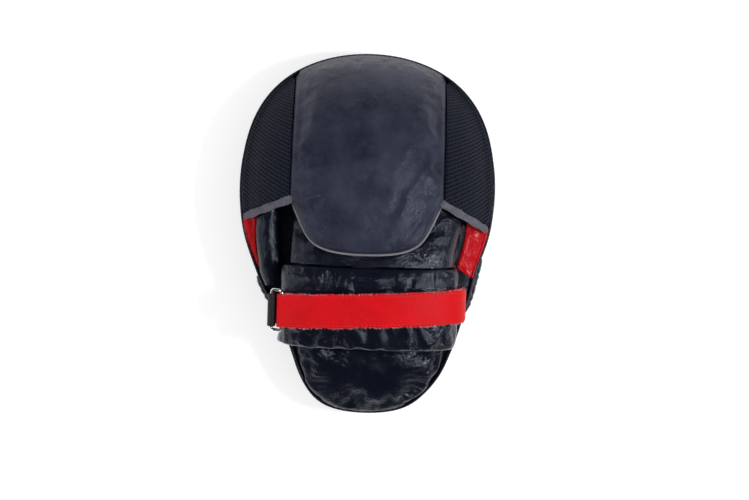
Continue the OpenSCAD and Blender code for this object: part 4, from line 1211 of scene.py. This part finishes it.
def sleeve():
    """Leather over the back of the hand, from the cuff under the hood, slack in a few folds across the
    fingers."""
    t, s = np.meshgrid(np.linspace(-20, 160, 120), np.linspace(0, 1, 50), indexing="ij")
    drop = smooth(s)
    sheets = []
    for inset in (0.0, 1.6):
        a, b = 61 - inset, 21 - 6 * drop - inset
        h = np.maximum(0, CUFF_ZC - GAP - 4 * drop + b * curl(np.sin(np.radians(t))))
        y = -20 + 40.5 * s - h * (1 - s) * math.sin(SLOPE)
        x = CUFF_X + 4 * drop + (a + 2.5 * drop) * curl(np.cos(np.radians(t)))
        slack = 0.9 * ripple(x * 0.6, y * 1.6, 15, 61) + 0.12 * ripple(x, y * 1.2, 6, 62)
        slack = slack * smooth(np.minimum(s, 1 - s) * 8) * smooth((h - 4) / 8)
        sheets.append(np.stack([x, y, WALL_H + GAP + arch(y) + h + slack], -1))
    return finish_piece(plate("hand_sleeve_leather", *sheets), "black", "mitt", ["hand_sleeve"])


sleeve()


def thumb_stall():
    """Thumb stall: an arch along the left side; it closes at the fingertip end and tapers to the cuff's
    shoulder."""
    y1, y0 = 36.5, -41.0
    s, y = np.meshgrid(np.linspace(0, 1, 44), np.linspace(y0, y1, 110), indexing="ij")
    sheets = []
    for inset in (0.0, 1.6):
        close = np.maximum(0, (y - y1 + 16) / 16) ** 3
        small = 1 - 0.6 * close
        tail = smooth((-19 - y) / 24)
        half = (THUMB_W / 2 - inset) * small * (1 - 0.14 * tail)
        tall = (THUMB_H - THUMB_W / 2) * small * (1 - 0.5 * tail)
        a = np.pi * (1 - s)
        rise = np.minimum(1, s * 6)
        base_x = thumb_room(y) - rim_x(y)
        wave = 0.45 * ripple(y * 1.2, s * 14, 9, 71) * smooth(np.minimum(s, 1 - s) * 6)
        r = half + wave * (inset == 0)
        x = base_x + swing(y) + THUMB_W / 2 - 2.0 * tail + r * np.cos(a)
        z = WALL_H + GAP + arch(y) + tall * rise + r * np.sin(a) * (1 - 0.25 * tail)
        sheets.append(np.stack([x, y, z], -1))
    finish_piece(plate("thumb_stall_leather", *sheets), "black", "mitt", ["thumb_stall"])
    y = np.linspace(-18, 34, 60)
    x = thumb_room(y) - rim_x(y) + THUMB_W - 1.0
    path = np.stack([x, y, WALL_H + GAP + arch(y) + 6.0], -1)
    _, across, up = frames(path)
    finish_piece(sweep("thumb_seam_piping", path, across, up, circle(8) * 0.9), "black", "mitt")


thumb_stall()


def thumb_divider():
    """Cloth between the thumb stall and the hand, standing beside the stall's inner wall."""
    h, y = np.meshgrid(np.linspace(0, 5.5, 8), np.linspace(4.5, 24.5, 30), indexing="ij")
    x = thumb_room(y) - rim_x(y) + THUMB_W
    wave = 0.12 * np.sin(y * 0.9)
    sheets = [np.stack([x + off + wave, y, WALL_H + GAP + arch(y) + h], -1) for off in (-0.1, -1.6)]
    return finish_piece(plate("thumb_divider_cloth", *sheets), "lining", "mitt", ["thumb_divider"])


thumb_divider()


def finger_stall(i, length):
    """Finger stall: an arched tube with a flat base that closes in a round tip, inner and outer wall in
    one form."""
    y_mid, y_start = 60.5, 30.5
    slope = -math.asin(y_mid / ARCH_R)
    t = np.linspace(0, 2 * math.pi, 44, endpoint=False)
    tip = np.radians([18, 36, 54, 70, 82, 88])

    def section(r, base):
        """Half circle of radius r over straight sides and a flat base with small corners."""
        x = r * np.sign(np.cos(t)) * np.abs(np.cos(t)) ** np.where(np.sin(t) < 0, 0.45, 1.0)
        z = np.where(np.sin(t) < 0, base + (7 - base) * (1 - np.abs(np.sin(t)) ** 0.45), 7 + r * np.sin(t))
        return np.stack([x, z], -1)

    rows = []
    for r, base, end, order in ((9.2, 1.6, length - 0.2, -1), (10.8, 0.0, length + 1.6, 1)):
        ys = np.concatenate([np.linspace(0, end - 9, 12), end - 9 + 9 * np.sin(tip)])
        k = np.concatenate([np.ones(12), np.cos(tip) ** 0.6])
        flat = section(r, base)
        part = []
        for y, s in zip(ys, k):
            z = base + (flat[:, 1] - base) * (0.35 + 0.65 * s)
            part.append(np.stack([flat[:, 0] * s, np.full(44, y), z], -1))
        rows += part[::order]
    p = np.array(rows)
    y, z = p[..., 1] + y_start - y_mid, p[..., 2].copy()
    p[..., 0] += (i - 2.5) * 21.9
    p[..., 1] = y * math.cos(slope) - z * math.sin(slope) + y_mid
    p[..., 2] = y * math.sin(slope) + z * math.cos(slope) + WALL_H + GAP + float(arch(y_mid))
    node = f"finger_stall_{i}"
    return finish_piece(loft(f"finger_stall_cloth_{i}", p), "lining", "mitt", [node])


for number, size in enumerate((44, 62, 62, 44), 1):
    finger_stall(number, size)

# ---- Strap, ring and patches ----

# Offsets from the cuff's outer wall, and the radii of the ring's wire and of the strap's fold round it
UNDER_OFF, LOOP_T, HOOK_T, LAYER_GAP = 0.5, 1.2, 1.0, 0.2
WIRE_R, BORE_R = 1.3, 1.6
BAR_OFF = UNDER_OFF + STRAP_T + GAP + WIRE_R
RUN = unit(oval(139, BAR_OFF) - oval(141, BAR_OFF))
RISE = np.array([-RUN[1], RUN[0]])
RING_MID = oval(140, BAR_OFF) - 12.5 * RUN
LOOP_MID, HOOK_MID = 3.1, 4.4
TAIL_OFF = UNDER_OFF + STRAP_T + LAYER_GAP + LOOP_T + LAYER_GAP + HOOK_T + LAYER_GAP
HALF_T = STRAP_T / 2


def strap_line(t0, t1, low, high_end, step=1.5):
    """Middle line of a strap layer: along the oval at an offset to the shoulder at 140 degrees, then
    straight to the ring, where its offset from the ring's middle is high_end."""
    t = np.linspace(t0, min(t1, 140), 160)
    line = oval(t, low)
    if t1 > 140:
        end = RING_MID + 4.2 * RUN + (high_end - BAR_OFF) * RISE
        line = np.concatenate([line, line[-1] + (end - line[-1]) * np.linspace(0, 1, 14)[1:, None]])
    return resample(line, step)


def cut_wave(n):
    """Unevenness of a strap's cut edge at n even steps: the sum of a long and a short sine wave, in mm."""
    i = np.arange(n)
    return 0.25 * np.sin(i * 0.31) + 0.15 * np.sin(i * 0.83 + 1)


def strap_layer(name, line, width, thick, wave=0.0, tip=None, wear=0.0):
    """A band along a line of the wrist's frame: slanted by 3 degrees, with rounded edges and a soft
    wave."""
    across = slab(width, thick, 16, 4)
    n = len(line)
    i = np.arange(n)
    along = unit(np.gradient(line, axis=0))
    out = np.stack([along[:, 1], -along[:, 0]], -1)
    if out[:, 1].mean() < 0:
        out = -out
    prof = np.broadcast_to(across, (n,) + across.shape).copy()
    if tip is not None:
        prof[..., 0] *= np.clip(tip, 0.05, 1)[:, None]
    y = prof[..., 0] + cut_wave(n)[:, None] * (prof[..., 0] / (width / 2))
    lift_by = prof[..., 1] + wave * (np.sin(i * 0.19 + 0.7) + 0.6 * np.sin(i * 0.47))[:, None] * \
        (0.3 + np.abs(prof[..., 0]) / width)
    p = line[:, None] + lift_by[..., None] * out[:, None]
    rings = wrist(np.stack([p[..., 0], y + p[..., 0] * SLANT, p[..., 1]], -1))
    mark = np.clip((np.abs(across[:, 0]) / (width / 2) - 0.9) * 10, 0, 1)
    return loft(name, rings, masks={"edge": np.broadcast_to(mark, (n, len(mark)))}), out


def frayed_edge(name, path, outward, upward, seed):
    """Loose leather fibres along a cut edge: three-sided spikes of up to 2 mm, seeded, leaning along the
    edge."""
    rng = np.random.default_rng(seed)
    n = int(lengths(path[None], 1)[0, -1] / 0.62)
    at = np.sort(rng.uniform(0, len(path) - 1.001, n))
    i, part = at.astype(int), (at % 1)[:, None]
    root = path[i] * (1 - part) + path[i + 1] * part
    along = unit(path[i + 1] - path[i])
    out, up = outward[i], upward[i]
    long = rng.uniform(0.6, 2.0, (n, 1)) * rng.uniform(0.4, 1, (n, 1))
    lean = out + 0.9 * rng.normal(0, 0.6, (n, 1)) * along
    lean = lean + 0.3 * rng.normal(0, 1, (n, 1)) * up
    tip = root + long * lean
    root = root - 0.35 * out + up * rng.uniform(-0.7, 0.7, (n, 1))
    foot = 0.2
    base = [root + foot * along, root - foot * along, root + foot * 1.4 * up]
    verts = np.stack([*base, tip], 1).reshape(-1, 3)
    faces = np.array([[0, 1, 2], [0, 3, 1], [1, 3, 2], [2, 3, 0]])
    tris = (faces[None] + 4 * np.arange(n)[:, None, None]).reshape(-1, 3)
    uv = np.array([[0, 0], [0.002, 0], [0.001, 0.002], [0.001, 0.01]])
    return finish_piece(add_mesh(name, verts, [], tris, [np.zeros((0, 4, 2)), uv[tris % 4]], {}), "fibre")


def strap():
    """Under strap, loop patch, tail with its hook patch, and the fold round the ring's near bar."""
    line = strap_line(-32, 141, UNDER_OFF + HALF_T, UNDER_OFF + HALF_T)
    under, _ = strap_layer("strap_under_leather", line, STRAP_W, STRAP_T)
    finish_piece(under, "red", None, ["strap_under"])
    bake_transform(under)
    patch, _ = strap_layer("loop_patch_pile", strap_line(20, 130, LOOP_MID, LOOP_MID), STRAP_W - 3, LOOP_T)
    finish_piece(patch, "pile", "mitt", ["loop_patch"])
    line = strap_line(10, 141, TAIL_OFF + HALF_T, BAR_OFF + BORE_R + HALF_T)
    run = lengths(line[None], 1)[0]
    tip = 0.86 + 0.14 * smooth(run / 2.5)
    tail, out = strap_layer("strap_band_leather", line, STRAP_W, STRAP_T, 0.16, tip)
    finish_piece(tail, "red", None, ["strap_root", "strap_tip"])
    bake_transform(tail)
    hook, _ = strap_layer("hook_patch_pile", strap_line(20, 80, HOOK_MID, HOOK_MID), STRAP_W - 3, HOOK_T)
    finish_piece(hook, "pile", "strap_tip", ["hook_patch"])
    for name, y in (("strap_stitches_high", 10.6), ("strap_stitches_low", -10.4)):
        p = line[2:] + out[2:] * 0.95
        ups = np.stack([out[2:, 0], 0 * out[2:, 0], out[2:, 1]], -1)
        path = wrist(np.stack([p[:, 0], y + p[:, 0] * SLANT, p[:, 1]], -1))
        row = finish_piece(threads(name, path, ups, 3.0, 2.1, 0.28), "red_thread")
        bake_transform(row)
    for name, sign, seed in (("strap_fray_low", -1, 5), ("strap_fray_high", 1, 6)):
        half = STRAP_W / 2 + cut_wave(len(line))
        p = line[1:-1] + out[1:-1] * 0.2
        path = wrist(np.stack([p[:, 0], sign * half[1:-1] + p[:, 0] * SLANT, p[:, 1]], -1))
        upward = unit(np.stack([out[1:-1, 0], 0 * p[:, 0], out[1:-1, 1]], -1))
        outward = np.broadcast_to([0.0, sign * 1.0, 0.0], path.shape)
        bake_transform(frayed_edge(name, path, outward, upward, seed))
    ring_bar = RING_MID + 4 * RUN
    a = np.radians(np.linspace(-97, 97, 40))
    base = math.atan2(RUN[1], RUN[0]) + math.pi
    arc = ring_bar + (BORE_R + HALF_T) * np.stack([np.cos(base - a), np.sin(base - a)], -1)
    spoke = np.stack([np.cos(base - a), np.sin(base - a)], -1)
    across = slab(STRAP_W, STRAP_T, 14, 4)
    p = arc[:, None] + across[None, :, 1:] * spoke[:, None]
    rings = wrist(np.stack([p[..., 0], across[None, :, 0] + p[..., 0] * SLANT, p[..., 1]], -1))
    fold = finish_piece(loft("strap_fold_leather", rings), "red", None, ["strap_fold"])
    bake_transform(fold)


strap()


def ring_anchor():
    """Webbing loop: up the cuff's side, over the ring's far bar and back under it."""
    eye = RING_MID - 4 * RUN
    side = oval(np.linspace(215, 187, 24), 1.3)
    turn = np.radians(np.linspace(185, -75, 40))
    loop = eye + 2.4 * np.stack([np.cos(turn), np.sin(turn)], -1)
    line = resample(np.concatenate([side, loop]), 0.9)
    along = unit(np.gradient(line, axis=0))
    out = np.stack([-along[:, 1], along[:, 0]], -1)
    across = slab(STRAP_W - 0.4, 1.5, 14, 4)
    p = line[:, None] + across[None, :, 1:] * out[:, None]
    rings = wrist(np.stack([p[..., 0], across[None, :, 0] + p[..., 0] * 0 + eye[0] * SLANT, p[..., 1]], -1))
    return finish_piece(loft("anchor_webbing", rings), "webbing", "mitt", ["ring_anchor"])


ring_anchor()
nodes["ring"].data.materials.clear()
nodes["ring"].data.materials.append(M["chrome"])

# ---- Camera, lights and floor ----

scene = bpy.context.scene
camera = bpy.data.objects.new("photo_camera", bpy.data.cameras.new("photo_camera"))
scene.collection.objects.link(camera)
scene.camera = camera
camera.data.sensor_width = 36
camera.data.lens = 122.4
camera.data.clip_end = 20
camera.location = (0.0068, -0.0123, 1.945)
camera.rotation_euler = (0, 0, math.radians(1.9))


def area_light(name, place, target, size, power):
    lamp = bpy.data.lights.new(name, "AREA")
    lamp.shape, lamp.size, lamp.energy = "SQUARE", size, power
    obj = bpy.data.objects.new(name, lamp)
    scene.collection.objects.link(obj)
    away = np.array(target, float) - np.array(place, float)
    obj.location = place
    flat = math.hypot(away[0], away[1])
    obj.rotation_euler = (math.atan2(flat, -away[2]), 0, math.atan2(away[0], -away[1]) + math.pi)
    return obj


area_light("key_softbox", (0.9, -0.05, 1.3), (0, 0, 0.05), 0.22, 11.5)
area_light("left_strip", (-1.1, 0.0, 1.0), (0, 0, 0.05), 0.17, 3.2)

AMBIENT = 0.66  # strength of the sky that lights the mitt
ZENITH = 0.07  # what gloss and glass see overhead, under which the sky whitens to 1
FLOOR_GLOW = 0.5  # light added to the table where it is seen


def seen_rays(g):
    """1 for rays from the camera, from gloss and through glass, and 0 for the rays that carry light."""
    rays = g.tree.nodes.new("ShaderNodeLightPath").outputs
    return g.add(rays["Is Camera Ray"], g.add(rays["Is Glossy Ray"], rays["Is Transmission Ray"]), True)


def sky():
    """White surroundings: where seen, dim overhead and white near the table; where they light, even."""
    world = bpy.data.worlds.new("studio")
    scene.world = world
    world.use_nodes = True
    g, back = Graph(world.node_tree), world.node_tree.nodes["Background"]
    seen = seen_rays(g)
    height = g.put("ShaderNodeSeparateXYZ", {0: g.put("ShaderNodeTexCoord", out=0)}, out=2)
    white = g.times(seen, g.span(height, 0.08, 0.2, 1.0, ZENITH))
    level = g.add(white, g.times(g.less(1.0, seen), AMBIENT))
    world.node_tree.links.new(level, back.inputs["Strength"])
    back.inputs["Color"].default_value = (1, 1, 1, 1)


def floor():
    """Pale table under the mitt: a wide disc that shows white and keeps the shadow."""
    made, g, shader = material("pale_floor", Base_Color=(0.7, 0.7, 0.71, 1), Roughness=0.9)
    shader.inputs["Emission Color"].default_value = (1, 1, 1, 1)
    g.tree.links.new(g.times(seen_rays(g), FLOOR_GLOW), shader.inputs["Emission Strength"])
    spots = g.noise(g.put("ShaderNodeTexCoord", out=3), 6.0)
    tone = g.mix(spots, (0.69, 0.69, 0.70, 1), (0.71, 0.71, 0.72, 1))
    g.tree.links.new(tone, shader.inputs["Base Color"])
    ring = circle(96)
    corners = ((30, -8), (2500, -8), (2500, -0.4), (30, -0.4))
    rows = [np.concatenate([ring * r, np.full((96, 1), z)], 1) for r, z in corners]
    obj = loft("table_top", np.array(rows))
    obj.data.materials.append(made)


sky()
floor()
scene.view_settings.view_transform = "Standard"
